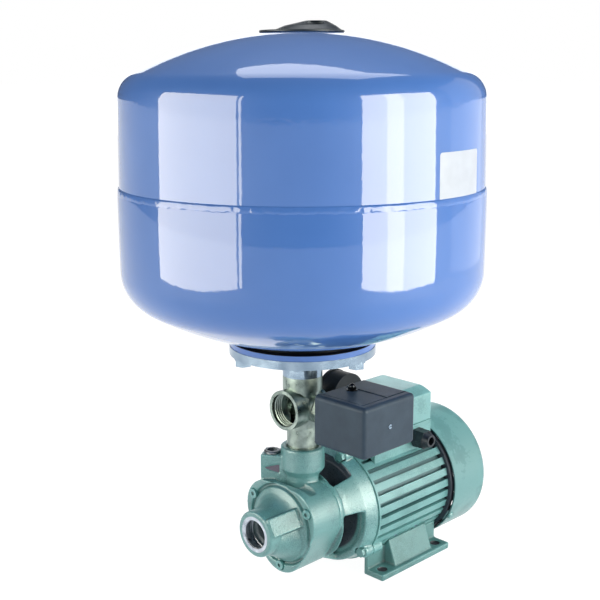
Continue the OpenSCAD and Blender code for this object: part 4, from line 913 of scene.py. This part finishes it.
pale_floor, tree, shader = start_finish("pale_floor", Roughness=0.9, Specular_IOR_Level=0.0,
                                        Base_Color=grey(FLOOR_GREY))[:3]
glow = add(tree, "Emission", {"Color": grey(1.0), "Strength": FLOOR_STRENGTH})
ray = add(tree, "LightPath")
mirrored = add(tree, "Math", {0: ray.outputs["Is Glossy Ray"], 1: FLOOR_MIRRORED},
               operation="MULTIPLY")
seen = add(tree, "Math", {0: ray.outputs["Is Camera Ray"], 1: mirrored}, operation="MAXIMUM")
share = add(tree, "MapRange", {"Value": seen, "To Min": FLOOR_BOUNCE, "To Max": FLOOR_GLOW})
shown = add(tree, "MixShader", {0: share, 1: shader, 2: glow})
feed(tree, tree.nodes["Material Output"], {"Surface": shown})
floor_mesh.materials.append(pale_floor)
print("the floor is", 2 * FLOOR_R, "m across")

# %% [markdown]
# ## Softboxes
#
# Two wide softboxes stand left and right of the camera: they make the tall pale bands on
# the tank and leave a darker band between them. A box overhead and a wide pale backdrop
# behind the object show as a sheen on every level surface. The boxes that are mirrored and
# the ones that light the paint are separate lamps, so each can be set by itself.

# %% Softboxes
GLOSS_ONLY = (False, True)
SOFT_ONLY = (True, False)
WARM = (1.0, 0.92, 0.76)
BELLY_Z = 0.42


def softbox(name, turn_deg, distance, height, width, tall, radiance, aim_height, sees,
            tint=(1.0, 1.0, 1.0)):
    """A box in metres, at an angle counted from the camera's side of the tank."""
    data = bpy.data.lights.new(name, "AREA")
    data.shape = "RECTANGLE"
    data.size = width
    data.size_y = tall
    data.energy = radiance * math.pi * width * tall
    data.color = tint
    lamp = bpy.data.objects.new(name, data)
    bpy.context.collection.objects.link(lamp)
    towards_camera = math.atan2(CAMERA_PLACE.y, CAMERA_PLACE.x - TANK_X * MM)
    angle = towards_camera + math.radians(turn_deg)
    place = Vector((TANK_X * MM + distance * math.cos(angle), distance * math.sin(angle), height))
    aim = Vector((TANK_X * MM, 0.0, aim_height))
    lamp.location = place
    lamp.rotation_euler = (aim - place).to_track_quat("-Z", "Y").to_euler()
    lamp.visible_camera = False
    lamp.visible_diffuse, lamp.visible_glossy = sees


print("the tank's middle, where most lamps point, is", BELLY_Z, "m up")

# %% [markdown]
# ## The list of lamps
#
# A call gives the angle round the tank in degrees, the distance and the height, the width
# and the tallness, how bright the box looks, and the height that it points at. Strips and
# the rim box only add a bright edge in the mirror. The low box on the right lifts the
# shade under the motor.

# %% Lamps
softbox("softbox_left", -64.2, 1.6, 0.4, 1.645, 1.5, 8.2, BELLY_Z, GLOSS_ONLY, WARM)
softbox("strip_left", -35.0, 1.82, 0.4, 0.05, 1.5, 8.2, BELLY_Z, GLOSS_ONLY, WARM)
softbox("softbox_right", 58.5, 1.6, 0.4, 1.47, 1.5, 10.6, BELLY_Z, GLOSS_ONLY, WARM)
softbox("strip_right", 54.0, 1.58, 0.4, 0.3, 1.48, 3.4, BELLY_Z, GLOSS_ONLY, WARM)
softbox("rim_right", 118.0, 1.8, 0.6, 1.4, 1.8, 0.5, BELLY_Z, GLOSS_ONLY)
softbox("overhead", 168.0, 0.54, 1.97, 1.2, 1.0, 2.9, 0.47, GLOSS_ONLY)
softbox("backdrop", 180.0, 2.6, 0.75, 1.8, 1.0, 1.6, 0.6, GLOSS_ONLY)
softbox("soft_left", -61.0, 1.6, 0.5, 1.86, 1.4, 1.5, BELLY_Z, SOFT_ONLY)
softbox("soft_right", 70.0, 1.6, 0.5, 1.6, 1.4, 4.2, BELLY_Z, SOFT_ONLY)
softbox("soft_overhead", 0.0, 0.3, 2.0, 1.6, 1.6, 0.4, 0.3, SOFT_ONLY)
softbox("soft_behind", 180.0, 1.0, 1.5, 1.6, 1.0, 5.0, 0.55, SOFT_ONLY)
softbox("soft_low_right", 70.0, 0.9, 0.13, 0.9, 0.22, 0.9, 0.06, SOFT_ONLY)

# %% [markdown]
# ## The room
#
# A ray that hits nothing asks the world. The camera sees pure white there, as in a studio
# picture with a white background. The paint gets a faint even light, and a mirror sees a
# room that is darker still, which keeps the blue of the dome deep. The plain Standard view
# shows the colours as they were mixed, where a film-like view would grey the white.

# %% Room
ROOM_LIGHT = 0.36
ROOM_MIRRORED = 0.12
world = bpy.data.worlds.new("pale_studio")
bpy.context.scene.world = world
world.use_nodes = True
room = world.node_tree
ray = add(room, "LightPath")
strength = add(room, "MapRange", {"Value": ray.outputs["Is Glossy Ray"], "To Min": ROOM_LIGHT,
                                  "To Max": ROOM_MIRRORED})
fill = room.nodes["Background"]
feed(room, fill, {"Color": (0.95, 0.97, 1.0, 1.0), "Strength": strength})
white = add(room, "Background", {"Color": grey(1.0), "Strength": 1.0})
chosen = add(room, "MixShader", {0: ray.outputs["Is Camera Ray"], 1: fill, 2: white})
feed(room, room.nodes["World Output"], {"Surface": chosen})
bpy.context.scene.view_settings.view_transform = "Standard"
print("room light:", ROOM_LIGHT, "and in a mirror:", ROOM_MIRRORED)
